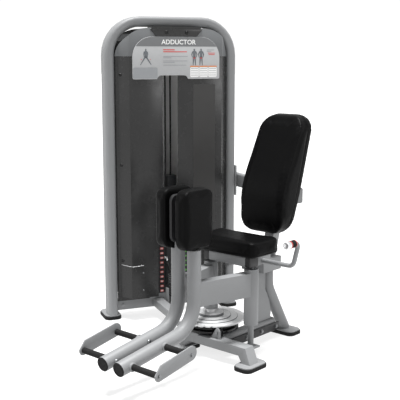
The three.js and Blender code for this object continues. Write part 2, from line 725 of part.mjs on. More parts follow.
// The drum that the cable winds on, with its groove.
function camDrum() {
  const groove = CABLE.drum - CABLE.radius - 1;
  const top = cam.plateFoot - GAP;
  const profile = [
    [PIVOT.bore, cam.foot], [cam.drum, cam.foot], [cam.drum, CABLE.level - 9], [groove, CABLE.level - 5],
    [groove, CABLE.level + 5], [cam.drum, CABLE.level + 9], [cam.drum, top], [PIVOT.bore, top],
  ];
  return turned(profile, 36).translate(-PIVOT.x, PIVOT.y, 0);
}

// The stepped plate above the drum, with the range stops' notches in its rim.
function camPlate() {
  const low = cam.plateFoot;
  const steps = [[cam.rim, low + 9], [143, low + 13], [106, low + 18], [68, low + 32], [cam.hub, cam.hubTop]];
  const profile = [[PIVOT.bore, low]];
  let level = low;
  for (const [radius, top] of steps) {
    profile.push([radius, level], [radius, top]);
    level = top;
  }
  profile.push([PIVOT.bore, cam.hubTop]);
  const notches = [];
  for (let k = 0; k < 12; k++) {
    const turn = (180 + 12 * k) * DEG;
    const at = [(cam.rim - 2) * Math.cos(turn), (cam.rim - 2) * Math.sin(turn)];
    notches.push(rod(8, [...at, low - 6], [...at, low + 14], 6));
  }
  return cut(turned(profile, 36), ...notches).translate(-PIVOT.x, PIVOT.y, 0);
}
piece(machine, "cam_drum", camDrum(), steel);
piece(machine, "cam_plate", camPlate(), steel);

// ---------------------------------------------------------------- arms
const sleeveBottom = { left: 186, right: cam.hubTop + 3 };

function armFrame(bottom) {
  const { tube, x, y, link } = ARM;
  const sleeve = rod(PIVOT.sleeve, [PIVOT.x, PIVOT.y, bottom], [PIVOT.x, PIVOT.y, PIVOT.top], 28);
  const [dx, dy] = [x - PIVOT.x, y - PIVOT.y];
  const reach = Math.hypot(dx, dy);
  const bar = box([0, reach], [-link.width / 2, link.width / 2], [link.bottom, link.top]);
  bar.rotateZ(Math.atan2(dy, dx)).translate(PIVOT.x, PIVOT.y, 0);
  const leg = roundTube(
    tube, [[x, y, ARM.top], [x, y, ARM.corner], [x, ARM.foot.y, ARM.foot.z]], ARM.bend, 7, 20,
  );
  const bore = rod(PIVOT.bore, [PIVOT.x, PIVOT.y, 0], [PIVOT.x, PIVOT.y, 600], 24);
  const padSeat = box([PAD.seat - GAP, 200], [y - 60, y + 60], [PAD.bottom - 4, ARM.top + 10]);
  return cut(join(sleeve, bar, leg), bore, padSeat);
}
piece(machine, "arm_frame_left", armFrame(sleeveBottom.left), paint);
mirroredPiece(machine, "arm_frame_right", armFrame(sleeveBottom.right), paint);

// A thigh pad. Where it reaches further in than its seat on the arm, a recess takes the arm.
function thighPad(inner) {
  const wide = PAD.rear - PAD.front;
  const tall = PAD.top - PAD.bottom;
  const pad = cushionBlock(roundedRect(tall, wide, PAD.corner), PAD.thick, 12);
  pad.rotateY(Math.PI / 2).translate(inner, (PAD.front + PAD.rear) / 2, (PAD.bottom + PAD.top) / 2);
  if (inner >= PAD.seat) return pad;
  const halfRecess = ARM.tube + 1;
  return cut(
    pad,
    box([inner - 2, PAD.seat + GAP], [ARM.y - halfRecess, ARM.y + halfRecess], [PAD.bottom - 2, ARM.top + GAP]),
  );
}
piece(machine, "thigh_pad_left", thighPad(PAD.inner.left), vinyl);
mirroredPiece(machine, "thigh_pad_right", thighPad(PAD.inner.right), vinyl);

const pegStart = ARM.x + ARM.tube + GAP;
const pegEnd = PEG.plateX - GAP;
for (const [place, [y, z]] of [["front", PEG.front], ["rear", PEG.rear]]) {
  pair("foot_peg_" + place, rod(PEG.radius, [pegStart, y, z], [pegEnd, y, z], 18), rubber);
}

// The outer plate that holds both pegs, drawn along the line between their bolts.
function pegPlate() {
  const [from, to] = [new THREE.Vector2(...PEG.front), new THREE.Vector2(...PEG.rear)];
  const span = to.distanceTo(from);
  const [low, high] = [-25, 45];
  const round = (high - low) / 2;
  const shape = new THREE.Shape();
  shape.moveTo(0, low);
  shape.lineTo(span, low);
  shape.absarc(span, low + round, round, -Math.PI / 2, Math.PI / 2);
  shape.lineTo(18, high);
  shape.lineTo(-24, 10);
  shape.quadraticCurveTo(-28, low, 0, low);
  const plate = new THREE.ExtrudeGeometry(shape, { depth: PEG.plateThick, bevelEnabled: false, curveSegments: 8 });
  plate.rotateZ(to.clone().sub(from).angle());
  const turn = new THREE.Matrix4().makeBasis(
    new THREE.Vector3(0, 1, 0), new THREE.Vector3(0, 0, 1), new THREE.Vector3(1, 0, 0),
  );
  return plate.applyMatrix4(turn).translate(PEG.plateX, from.x, from.y);
}
pair("peg_plate", pegPlate(), paint);

// ---------------------------------------------------------------- seat and back
const seatDeep = SEAT.rear - SEAT.front;
const seatPlan = roundedRect(2 * SEAT.half, seatDeep, SEAT.corner, [0, (SEAT.front + SEAT.rear) / 2]);
piece(machine, "seat_cushion", cushionBlock(seatPlan, SEAT.top - SEAT.bottom, 14).translate(0, 0, SEAT.bottom), vinyl);

// The leaning post behind the seat, as the Y of its centre at a level.
const lean = { y: 368, z: SEAT_FRAME.top + GAP, top: 960, half: 30, deep: 58, slope: 0.286 };
const postY0 = (z) => lean.y + (z - lean.z) * lean.slope;
function backPost() {
  const side = lean.deep / 2;
  return sideways(
    outline([
      [lean.y - side, lean.z], [lean.y + side, lean.z], [postY0(lean.top) + side, lean.top],
      [postY0(lean.top - 16) - side, lean.top - 16],
    ]),
    -lean.half, lean.half,
  );
}
piece(machine, "back_post", backPost(), paint);

// The back pad seen from its side: upright in the lumbar part and leaning above it.
function backPadProfile() {
  const shape = new THREE.Shape();
  shape.moveTo(330, 604);
  shape.quadraticCurveTo(294, 604, 292, 650);
  shape.lineTo(290, 790);
  shape.quadraticCurveTo(292, 850, 336, 945);
  shape.lineTo(468, 1200);
  shape.quadraticCurveTo(488, 1243, 512, 1244);
  shape.lineTo(534, 1244);
  shape.quadraticCurveTo(568, 1240, 560, 1180);
  shape.lineTo(454, 820);
  shape.lineTo(386, 640);
  shape.quadraticCurveTo(370, 604, 330, 604);
  return shape;
}
const postFront = (z) => [postY0(z) - lean.deep / 2 - GAP, z];
const postRelief = sideways(
  outline([postFront(400), [800, 400], [800, 1000], postFront(1000)]), -lean.half - GAP, lean.half + GAP,
);
const backPad = { half: 146, low: 604, high: 1244, corner: 92 };
const backPadFace = roundedRect(
  2 * backPad.half, backPad.high - backPad.low, backPad.corner, [0, (backPad.low + backPad.high) / 2],
);
piece(
  machine, "back_cushion",
  cut(
    common(sideways(backPadProfile(), -backPad.half, backPad.half, 5), backwards(backPadFace, 200, 600, 6)),
    postRelief,
  ),
  vinyl,
);

// The brace from the tower's right post to the back post: a mounting plate, a flat tube and a lug.
function backBrace() {
  const face = TOWER.width / 2 + GAP;
  const plate = box([face, face + 12], [8, 92], [BRACE.level - 92, BRACE.level + 92]);
  plate.rotateZ(TOWER.turn).translate(TOWER.place[0], TOWER.place[1], 0);
  const section = roundedRect(BRACE.tall, BRACE.deep, 12);
  const tube = bentBar(section, [[...BRACE.from, BRACE.level], [...BRACE.to, BRACE.level]], 1);
  const rear = postY0(BRACE.level + 36) + lean.deep / 2 + GAP;
  const lug = box([-lean.half, lean.half], [rear, 550], [BRACE.level - 36, BRACE.level + 36]);
  return join(plate, tube, lug);
}
piece(machine, "back_brace", backBrace(), paint);

// ---------------------------------------------------------------- handles
function handleTube() {
  const { tube, x, y, low, high, gripFront, elbow } = HANDLE;
  const corners = [
    [SEAT_FRAME.boxHalf + GAP, y, low], [elbow, y, low], [x, y, high], [x, gripFront + 6, high],
  ];
  return roundTube(tube, corners, 34, 5, 14);
}
const handleGrip = () => cut(
  rod(HANDLE.grip, [HANDLE.x, HANDLE.gripFront, HANDLE.high], [HANDLE.x, HANDLE.gripRear, HANDLE.high], 18),
  rod(
    HANDLE.tube + GAP, [HANDLE.x, HANDLE.gripFront + 5, HANDLE.high],
    [HANDLE.x, HANDLE.gripRear + 5, HANDLE.high], 14,
  ),
);
pair("handle", handleTube(), paint);
pair("handle_grip", handleGrip(), rubber);

// ---------------------------------------------------------------- frame
// The part's origin is the middle of its bounding box, on the floor.
const bounds = new THREE.Box3().setFromObject(machine, true);
const middle = bounds.getCenter(new THREE.Vector3());
machine.position.set(-middle.x, -middle.y, -bounds.min.z);
const part = new THREE.Group();
part.add(machine);

export default part;
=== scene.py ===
# Looks for a seated hip adductor machine: paint, plastics, upholstery, fasteners and the placard,
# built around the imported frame. Metres, +Z up, +X is the user's left, the user faces -Y.
import math

import bmesh
import bpy
from mathutils import Matrix, Vector
from mathutils.bvhtree import BVHTree


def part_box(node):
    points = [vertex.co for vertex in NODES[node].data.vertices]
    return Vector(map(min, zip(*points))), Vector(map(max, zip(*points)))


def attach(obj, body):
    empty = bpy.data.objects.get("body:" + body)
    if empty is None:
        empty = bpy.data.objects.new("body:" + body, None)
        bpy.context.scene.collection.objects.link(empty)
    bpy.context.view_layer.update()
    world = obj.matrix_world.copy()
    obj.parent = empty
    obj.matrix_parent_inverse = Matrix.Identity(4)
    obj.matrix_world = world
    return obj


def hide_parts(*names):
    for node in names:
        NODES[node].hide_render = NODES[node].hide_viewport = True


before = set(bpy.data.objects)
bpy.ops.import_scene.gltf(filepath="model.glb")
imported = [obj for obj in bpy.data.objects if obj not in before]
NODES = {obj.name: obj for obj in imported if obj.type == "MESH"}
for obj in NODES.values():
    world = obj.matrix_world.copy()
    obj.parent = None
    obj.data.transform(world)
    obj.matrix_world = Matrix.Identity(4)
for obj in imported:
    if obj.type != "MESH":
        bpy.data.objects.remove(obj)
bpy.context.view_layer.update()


# ---------------------------------------------------------------- places
def middle(node):
    low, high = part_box(node)
    return (low + high) / 2


SEAT_LOW, SEAT_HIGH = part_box("seat_cushion")
SEAT_FRONT = -0.030  # the seat's front edge in the machine's own Y
HOME = Vector(((SEAT_LOW.x + SEAT_HIGH.x) / 2, SEAT_LOW.y - SEAT_FRONT, 0))

ROD_BACK = 0.045  # the guide rods stand this far behind the tower's front face
ACROSS = middle("guide_rod_right") - middle("guide_rod_left")
ACROSS.z = 0
ACROSS.normalize()
BACK = Vector((-ACROSS.y, ACROSS.x, 0))
TOWER_HOME = (middle("guide_rod_left") + middle("guide_rod_right")) / 2 - BACK * ROD_BACK
TOWER_HOME.z = 0
UP = Vector((0, 0, 1))


def seat_at(x, y, z):
    """A place given from the middle of the seat."""
    return HOME + Vector((x, y, z))


def tower_at(u, v, z):
    """A place given across the tower, back from its front face, and up."""
    return TOWER_HOME + ACROSS * u + BACK * v + UP * z


def turn_to(direction):
    """The rotation that turns +Z to a direction."""
    return Vector((0, 0, 1)).rotation_difference(Vector(direction)).to_matrix().to_4x4()


# Decals are drawn in (across, up) with +Z out of the tower's front.
FACE_TURN = Matrix(
    (
        (ACROSS.x, 0, -BACK.x, 0),
        (ACROSS.y, 0, -BACK.y, 0),
        (0, 1, 0, 0),
        (0, 0, 0, 1),
    )
)

# ---------------------------------------------------------------- camera, floor and light
CAMERA_HEADING = math.radians(41.83)
CAMERA_PITCH = math.radians(9.581)
CAMERA_PLACE = (2.743, -3.262, 1.546)
CAMERA_LENS = 75.93
camera_data = bpy.data.cameras.new("camera")
camera_data.lens = CAMERA_LENS
camera_data.sensor_width = 36
camera = bpy.data.objects.new("camera", camera_data)
camera.location = seat_at(*CAMERA_PLACE)
camera.rotation_euler = (math.pi / 2 - CAMERA_PITCH, 0, CAMERA_HEADING)
bpy.context.scene.collection.objects.link(camera)
bpy.context.scene.camera = camera
bpy.context.scene.view_settings.view_transform = "Standard"


# ---------------------------------------------------------------- materials
class Shader:
    """A small helper around one material's node tree."""

    def __init__(self, name, colour, roughness, metallic=0.0, **sockets):
        self.material = bpy.data.materials.new(name)
        self.material.use_nodes = True
        self.nodes = self.material.node_tree.nodes
        self.links = self.material.node_tree.links
        self.principled = self.nodes["Principled BSDF"]
        self.colour = (*colour, 1)
        self.principled.inputs["Base Color"].default_value = self.colour
        self.principled.inputs["Roughness"].default_value = roughness
        self.principled.inputs["Metallic"].default_value = metallic
        for socket, value in sockets.items():
            self.principled.inputs[socket.replace("_", " ")].default_value = value
        self.place = self.nodes.new("ShaderNodeTexCoord").outputs["Object"]
        self.normal = None

    def node(self, kind, **inputs):
        made = self.nodes.new("ShaderNode" + kind)
        for name, value in inputs.items():
            socket = made.inputs[name.replace("_", " ")]
            if isinstance(value, bpy.types.NodeSocket):
                self.links.new(value, socket)
            else:
                socket.default_value = value
        return made

    def stretched(self, scale):
        return self.node("Mapping", Vector=self.place, Scale=scale).outputs["Vector"]

    def noise(self, scale, detail=3.0, roughness=0.5, at=None):
        return self.node(
            "TexNoise", Vector=at or self.place, Scale=scale, Detail=detail, Roughness=roughness
        ).outputs["Fac"]

    def cells(self, scale, at=None):
        return self.node("TexVoronoi", Vector=at or self.place, Scale=scale).outputs["Distance"]

    def remap(self, value, low, high, to_low, to_high):
        made = self.node("MapRange", Value=value)
        for socket, number in zip(
            ("From Min", "From Max", "To Min", "To Max"), (low, high, to_low, to_high)
        ):
            made.inputs[socket].default_value = number
        return made.outputs["Result"]

    def tint(self, factor, dark, light):
        """Base colour runs between two shares of the plain colour."""
        made = self.nodes.new("ShaderNodeMix")
        made.data_type = "RGBA"
        self.links.new(factor, made.inputs["Factor"])
        made.inputs["A"].default_value = (*[c * dark for c in self.colour[:3]], 1)
        made.inputs["B"].default_value = (*[min(1, c * light) for c in self.colour[:3]], 1)
        self.links.new(made.outputs["Result"], self.principled.inputs["Base Color"])
        return self

    def gloss(self, factor, low, high):
        self.links.new(self.remap(factor, 0.3, 0.7, low, high), self.principled.inputs["Roughness"])
        return self

    def bump(self, height, distance, strength=1.0):
        made = self.node("Bump", Height=height, Distance=distance, Strength=strength)
        if self.normal:
            self.links.new(self.normal, made.inputs["Normal"])
        self.normal = made.outputs["Normal"]
        self.links.new(self.normal, self.principled.inputs["Normal"])
        return self


def powder_coat(name, colour):
    s = Shader(name, colour, 0.5, Specular_IOR_Level=0.4)
    s.tint(s.noise(9, 4), 0.95, 1.05).gloss(s.noise(160, 3), 0.46, 0.56)
    return s.bump(s.noise(900, 2), 0.0002, 0.35).bump(s.noise(60, 2), 0.0004, 0.2).material


def smooth_plastic(name, colour, low, high, speckle):
    s = Shader(name, colour, low, 0.0, Specular_IOR_Level=0.28)
    s.tint(s.noise(5, 3), 0.9, 1.12).gloss(s.noise(26, 4), low, high)
    return s.bump(s.noise(speckle, 2), 0.0002, 0.35).material


def moulded_rubber(name, colour):
    s = Shader(name, colour, 0.7, 0.0, Specular_IOR_Level=0.12)
    s.tint(s.noise(40, 4), 0.75, 1.4).gloss(s.noise(90, 3), 0.6, 0.82)
    return s.bump(s.noise(700, 3), 0.0005, 0.5).material


def grained_vinyl(name, colour):
    s = Shader(name, colour, 0.42, 0.0, Specular_IOR_Level=0.05)
    s.tint(s.noise(14, 4), 0.75, 1.35).gloss(s.noise(70, 4), 0.36, 0.46)
    return s.bump(s.cells(700), 0.0004, 0.4).bump(s.noise(1400, 2), 0.0002, 0.3).material


def brushed_metal(name, colour, stretch, roughness=0.28):
    s = Shader(name, colour, roughness, 0.9)
    grain = s.noise(300, 3, at=s.stretched(stretch))
    s.tint(s.noise(30, 4), 0.88, 1.08).gloss(grain, roughness - 0.07, roughness + 0.1)
    return s.bump(grain, 0.0002, 0.35).material


RING_DENSITY = 2600  # radians of ring pattern for each metre of radius


def turned_metal(name, colour, centre):
    """Fine rings about a vertical axis through centre, as a lathe leaves."""
    s = Shader(name, colour, 0.4, 0.2, Specular_IOR_Level=0.4)
    moved = s.node("Mapping", Vector=s.place, Location=(-centre.x, -centre.y, 0), Scale=(1, 1, 0))
    radius = s.node("VectorMath", Vector=moved.outputs["Vector"])
    radius.operation = "LENGTH"
    rings = s.node("Math")
    rings.operation = "SINE"
    spread = s.node("Math")
    spread.operation = "MULTIPLY"
    s.links.new(radius.outputs["Value"], spread.inputs[0])
    spread.inputs[1].default_value = RING_DENSITY
    s.links.new(spread.outputs[0], rings.inputs[0])
    s.tint(s.noise(12, 3), 0.96, 1.03).gloss(s.noise(80, 3), 0.36, 0.46)
    return s.bump(rings.outputs[0], 0.00004, 0.15).material


def sand_cast(name, colour):
    s = Shader(name, colour, 0.5, 0.1, Specular_IOR_Level=0.25)
    s.tint(s.noise(30, 4), 0.7, 1.5).gloss(s.noise(120, 3), 0.42, 0.62)
    return s.bump(s.noise(420, 4), 0.0008, 0.5).material


def printed(name, colour, roughness=0.42):
    s = Shader(name, colour, roughness, 0.0, Specular_IOR_Level=0.4)
    s.tint(s.noise(60, 3), 0.96, 1.04).gloss(s.noise(200, 2), roughness - 0.05, roughness + 0.05)
    return s.bump(s.noise(1200, 2), 0.0001, 0.2).material


PAINT = powder_coat("grey_powder_coat", (0.196, 0.2, 0.204))
SHROUD = smooth_plastic("dark_shroud_sheet", (0.0215, 0.0215, 0.0215), 0.2, 0.3, 500)
INSET_SHEET = smooth_plastic("inset_sheet", (0.036, 0.0352, 0.0345), 0.4, 0.55, 300)
LINER = smooth_plastic("warm_grey_liner", (0.8, 0.79, 0.78), 0.5, 0.7, 300)
COVER = smooth_plastic("grey_moulded_cover", (0.13, 0.135, 0.139), 0.42, 0.56, 600)
BLACK_PLASTIC = smooth_plastic("black_plastic", (0.014, 0.014, 0.015), 0.35, 0.5, 500)
RUBBER = moulded_rubber("black_rubber", (0.01, 0.01, 0.01))
VINYL = grained_vinyl("black_vinyl", (0.0016, 0.0016, 0.0017))
PIPING = grained_vinyl("black_piping", (0.0036, 0.0036, 0.0037))
GLOSS_BLACK = smooth_plastic("cable_wrap", (0.005, 0.005, 0.0053), 0.16, 0.3, 200)
STEEL = brushed_metal("bright_steel", (0.62, 0.63, 0.64), (1, 1, 0.03))
ZINC = brushed_metal("zinc_fastener", (0.2, 0.205, 0.21), (0.2, 1, 1), 0.38)
KNURL_METAL = brushed_metal("cap_aluminium", (0.72, 0.72, 0.73), (1, 0.1, 1), 0.36)
IRON = sand_cast("black_cast_iron", (0.02, 0.021, 0.022))
CAM_METAL = turned_metal("turned_cam", (0.68, 0.685, 0.69), middle("cam_plate"))
PLACARD = printed("placard_grey", (0.385, 0.39, 0.395))
HEADER = printed("placard_header", (0.142, 0.146, 0.15))
INK = printed("print_dark_grey", (0.12, 0.13, 0.14))
SOFT_INK = printed("print_mid_grey", (0.25, 0.26, 0.27))
PAPER = printed("print_white", (0.78, 0.78, 0.77))
RED = printed("print_red", (0.55, 0.06, 0.05))
ORANGE = printed("print_orange", (0.62, 0.2, 0.04))
STICKER_RED = printed("sticker_red", (0.56, 0.1, 0.09))
STICKER_WHITE = printed("sticker_white", (0.78, 0.62, 0.6))
STICKER_GREEN = printed("sticker_green", (0.1, 0.42, 0.05))
CABLE = moulded_rubber("cable_jacket", (0.01, 0.01, 0.01))
SOFT_GREY = moulded_rubber("lanyard_grey", (0.09, 0.09, 0.092))


# ---------------------------------------------------------------- mesh tools
def smooth_shaded(mesh, angle):
    """Smooth shading, with a crease wherever two faces meet more sharply than the angle."""
    for polygon in mesh.polygons:
        polygon.use_smooth = True
    mesh.set_sharp_from_angle(angle=math.radians(angle))


def add(name, mesh, material, body, smooth_angle=35):
    """A finished mesh as a piece of the object, riding on a body."""
    piece = bpy.data.objects.new(name, mesh)
    bpy.context.scene.collection.objects.link(piece)
    mesh.materials.clear()
    mesh.materials.append(material)
    smooth_shaded(mesh, smooth_angle)
    if body:
        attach(piece, body)
    return piece


def mesh_from(name, bm):
    bmesh.ops.recalc_face_normals(bm, faces=bm.faces)
    mesh = bpy.data.meshes.new(name)
    bm.to_mesh(mesh)
    bm.free()
    return mesh


def apply_modifiers(piece):
    """The piece's mesh with its modifiers worked in."""
    depsgraph = bpy.context.evaluated_depsgraph_get()
    mesh = bpy.data.meshes.new_from_object(piece.evaluated_get(depsgraph))
    piece.modifiers.clear()
    old = piece.data
    piece.data = mesh
    bpy.data.meshes.remove(old)
    return piece


def merged_copy(node):
    """A CAD node's mesh with its split corners merged."""
    bm = bmesh.new()
    bm.from_mesh(NODES[node].data)
    bmesh.ops.remove_doubles(bm, verts=bm.verts, dist=2e-5)
    bmesh.ops.dissolve_limit(bm, angle_limit=math.radians(0.6), verts=bm.verts, edges=bm.edges)
    return bm


def softened(node, material, body, width=0.0022, angle=35):
    """A CAD node redrawn with its hard edges eased, as coated steel or moulded plastic has."""
    mesh = mesh_from(node + "_finish", merged_copy(node))
    piece = add(node + "_finish", mesh, material, None, 40)
    bevel = piece.modifiers.new("edges", "BEVEL")
    bevel.width = width
    bevel.segments = 2
    bevel.limit_method = "ANGLE"
    bevel.angle_limit = math.radians(angle)
    bevel.harden_normals = False
    apply_modifiers(piece)
    smooth_shaded(piece.data, 50)
    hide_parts(node)
    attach(piece, body)
    return piece


def ring_mesh(bm, rings, matrix, closed_start=True, closed_end=True):
    """Skins rings of equal length into a surface."""
    made = [[bm.verts.new(matrix @ Vector(p)) for p in ring] for ring in rings]
    count = len(made[0])
    for a, b in zip(made, made[1:]):
        for i in range(count):
            j = (i + 1) % count
            bm.faces.new((a[i], a[j], b[j], b[i]))
    if closed_start:
        bm.faces.new(list(reversed(made[0])))
    if closed_end:
        bm.faces.new(made[-1])


def circle_ring(radius, z, sides=24):
    turns = [2 * math.pi * i / sides for i in range(sides)]
    return [(radius * math.cos(t), radius * math.sin(t), z) for t in turns]


def hex_ring(flat, z, sides=24):
    """A hexagon of a given half width across its flats, with as many points as the rings round it."""
    points = []
    for i in range(sides):
        t = 2 * math.pi * i / sides
        radius = flat / math.cos((t % (math.pi / 3)) - math.pi / 6)
        points.append((radius * math.cos(t), radius * math.sin(t), z))
    return points


def lathe(bm, profile, matrix, sides=28):
    ring_mesh(bm, [circle_ring(r, z, sides) for r, z in profile], matrix)


def button_head(bm, matrix, radius):
    """A domed screw head with a hexagon socket."""
    rings = [circle_ring(radius, 0), circle_ring(radius, 0.12 * radius)]
    for step in (0.3, 0.6, 0.9):
        rings.append(
            circle_ring(radius * math.cos(step * 0.9), radius * (0.12 + 0.5 * math.sin(step)))
        )
    top = radius * (0.12 + 0.5 * math.sin(0.9))
    rings.append(hex_ring(0.36 * radius, top))
    rings.append(hex_ring(0.34 * radius, top - 0.3 * radius))
    ring_mesh(bm, rings, matrix)


def hex_head(bm, matrix, radius):
    """A hexagon head on a washer."""
    washer = 0.16 * radius
    rings = [circle_ring(1.35 * radius, 0), circle_ring(1.35 * radius, washer)]
    rings += [hex_ring(0.87 * radius, washer), hex_ring(0.87 * radius, 0.7 * radius)]
    rings.append(circle_ring(0.78 * radius, 0.8 * radius))
    rings.append(circle_ring(0.3 * radius, 0.82 * radius))
    ring_mesh(bm, rings, matrix)


def fasteners(name, kind, places, radius, material, body):
    """Many heads of one kind as one piece. A place is (point, outward direction)."""
    bm = bmesh.new()
    for point, out in places:
        kind(bm, Matrix.Translation(point) @ turn_to(out), radius)
    return add(name, mesh_from(name, bm), material, body, 30)


def rounded_outline(wide, tall, radius, steps=6):
    """Corners of a rounded rectangle about the origin."""
    points = []
    for sx, sy, start in ((1, -1, -90), (1, 1, 0), (-1, 1, 90), (-1, -1, 180)):
        for k in range(steps + 1):
            t = math.radians(start + 90 * k / steps)
            x = sx * (wide / 2 - radius) + radius * math.cos(t)
            points.append((x, sy * (tall / 2 - radius) + radius * math.sin(t)))
    return points


def slab(bm, outline, matrix, thickness, ease=0.0):
    """A flat outline given a thickness along +Z, with its upper edge eased inwards."""
    levels = [(0.0, 0.0), (thickness - ease, 0.0)]
    if ease:
        levels.append((thickness, ease))
    centre_x = sum(p[0] for p in outline) / len(outline)
    centre_y = sum(p[1] for p in outline) / len(outline)
    reach = max(math.hypot(p[0] - centre_x, p[1] - centre_y) for p in outline)
    rings = []
    for z, inset in levels:
        share = 1 - inset / reach
        rings.append([
            (centre_x + (x - centre_x) * share, centre_y + (y - centre_y) * share, z)
            for x, y in outline
        ])
    ring_mesh(bm, rings, matrix)


def tube(bm, points, radius, sides=10, closed=False):
    """A round tube along points."""
    count = len(points)
    rings = []
    side = None
    for i, point in enumerate(points):
        ahead = points[(i + 1) % count] if closed or i + 1 < count else point
        behind = points[i - 1] if closed or i > 0 else point
        along = (ahead - behind).normalized()
        if side is None:
            side = along.orthogonal().normalized()
        side = (side - along * side.dot(along)).normalized()
        other = along.cross(side)
        turns = [2 * math.pi * k / sides for k in range(sides)]
        rings.append([point + (side * math.cos(t) + other * math.sin(t)) * radius for t in turns])
    if not closed:
        ring_mesh(bm, rings, Matrix.Identity(4))
        return
    # The last ring may be turned against the first, so it is matched to the nearest point.
    made = [[bm.verts.new(p) for p in ring] for ring in rings]
    shift = min(range(sides), key=lambda k: (rings[-1][k] - rings[0][0]).length)
    made.append([made[0][(i - shift) % sides] for i in range(sides)])
    for a, b in zip(made, made[1:]):
        for i in range(sides):
            j = (i + 1) % sides
            bm.faces.new((a[i], a[j], b[j], b[i]))


IDENTITY = Matrix.Identity(4)

# ---------------------------------------------------------------- painted frame
for cad_name in (
    "tower_arch", "tower_base_beam", "tower_top_beam", "front_beam", "link_beam", "spine_beam",
    "rear_leg", "seat_web", "cross_tube", "seat_frame", "back_post", "back_brace",
    "top_pulley_bracket", "floor_pulley_bracket", "handle_left", "handle_right",
):
    softened(cad_name, PAINT, "frame")
for hand in ("left", "right"):
    softened("arm_frame_" + hand, PAINT, hand + "_arm", 0.003)
    softened("peg_plate_" + hand, PAINT, hand + "_arm", 0.0016)
softened("cam_drum", GLOSS_BLACK, "cam", 0.0012, 30)
softened("cam_plate", CAM_METAL, "cam", 0.0006, 12)

# Dark grey bands over the walls of the cam plate's steps are painted shade. A step is (radius, foot,
# head) above the plate's underside.
CAM_STEPS = ((0.143, 0.009, 0.013), (0.106, 0.013, 0.018), (0.068, 0.018, 0.032))
cam_centre = middle("cam_plate")
cam_place = Matrix.Translation((cam_centre.x, cam_centre.y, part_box("cam_plate")[0].z))
bm = bmesh.new()
for radius, foot, head in CAM_STEPS:
    inner = radius - 0.0004
    outer = radius + 0.0012
    band = [
        (inner, foot + 0.0002), (outer, foot + 0.0002), (outer, head - 0.0006), (inner, head - 0.0006),
    ]
    loops = [circle_ring(r, z, 72) for r, z in band + band[:1]]
    ring_mesh(bm, loops, cam_place, False, False)
bmesh.ops.remove_doubles(bm, verts=bm.verts, dist=0.00001)
# These bands paint the shade on the step walls; the walls are the same turned metal as the steps.
add("cam_step_wall_shade_bands", mesh_from("cam_step_wall_shade_bands", bm), COVER, "cam", 30)
softened("side_bar", BLACK_PLASTIC, "frame", 0.0015)
softened("placard_bracket", SHROUD, "frame", 0.0015)
for cad_name in ("front_shroud_left", "front_shroud_right"):
    softened(cad_name, SHROUD, "frame", 0.0012, 12)
softened("rear_shroud", SHROUD, "frame", 0.0012, 12)
softened("top_cover", COVER, "frame", 0.002, 12)
softened("placard", PLACARD, "frame", 0.0012)
for cad_name in (
    "foot_pad_tower_left", "foot_pad_tower_right", "foot_pad_front_left", "foot_pad_front_right",
    "foot_pad_rear",
):
    softened(cad_name, RUBBER, "frame", 0.004)
softened("weight_stack_lower", IRON, "frame", 0.001)
for cad_name in ("weight_plate_1", "weight_plate_2", "weight_plate_3", "head_plate", "head_yoke"):
    softened(cad_name, IRON, "carriage", 0.0012)
for cad_name, rider in (
    ("top_pulley", "top_wheel"), ("floor_pulley", "floor_wheel"), ("guide_pulley", "guide_wheel"),
):
    softened(cad_name, BLACK_PLASTIC, rider, 0.0008)
for cad_name, material in (
    ("guide_rod_left", STEEL), ("guide_rod_right", STEEL), ("selector_stem", STEEL),
    ("pivot_shaft_left", PAINT), ("pivot_shaft_right", PAINT), ("lift_cable", CABLE),
):
    mesh = NODES[cad_name].data
    mesh.materials.clear()
    mesh.materials.append(material)
    smooth_shaded(mesh, 50)


# ---------------------------------------------------------------- upholstery
CLOTH_STEPS = 20
CLOTH_PRESSURE = 4.0
CLOTH_STIFFNESS = 15
INSET = 0.0005  # how far the upholstery is pulled in before it swells


def cloth_swell(piece, pressure, cap, held):
    """Blows the piece up a little as stuffed cloth.

    Points that held picks stay put, and none moves further than cap.
    """
    rest = [vertex.co.copy() for vertex in piece.data.vertices]
    group = piece.vertex_groups.new(name="held")
    group.add([v.index for v in piece.data.vertices if held(v.co)], 1.0, "REPLACE")
    cloth = piece.modifiers.new("stuffing", "CLOTH")
    settings = cloth.settings
    settings.quality = 4
    settings.mass = 0.3
    settings.tension_stiffness = CLOTH_STIFFNESS
    settings.compression_stiffness = CLOTH_STIFFNESS
    settings.shear_stiffness = 5
    settings.bending_stiffness = 0.5
    settings.use_pressure = True
    settings.uniform_pressure_force = pressure
    settings.vertex_group_mass = "held"
    settings.effector_weights.gravity = 0
    cloth.collision_settings.use_self_collision = False
    scene = bpy.context.scene
    for step in range(1, CLOTH_STEPS + 1):
        scene.frame_set(step)
    depsgraph = bpy.context.evaluated_depsgraph_get()
    swollen = [v.co.copy() for v in piece.evaluated_get(depsgraph).data.vertices]
    piece.modifiers.remove(cloth)
    scene.frame_set(1)
    for vertex, start, end in zip(piece.data.vertices, rest, swollen):
        move = end - start
        if move.length > cap:
            move *= cap / move.length
        vertex.co = start + move


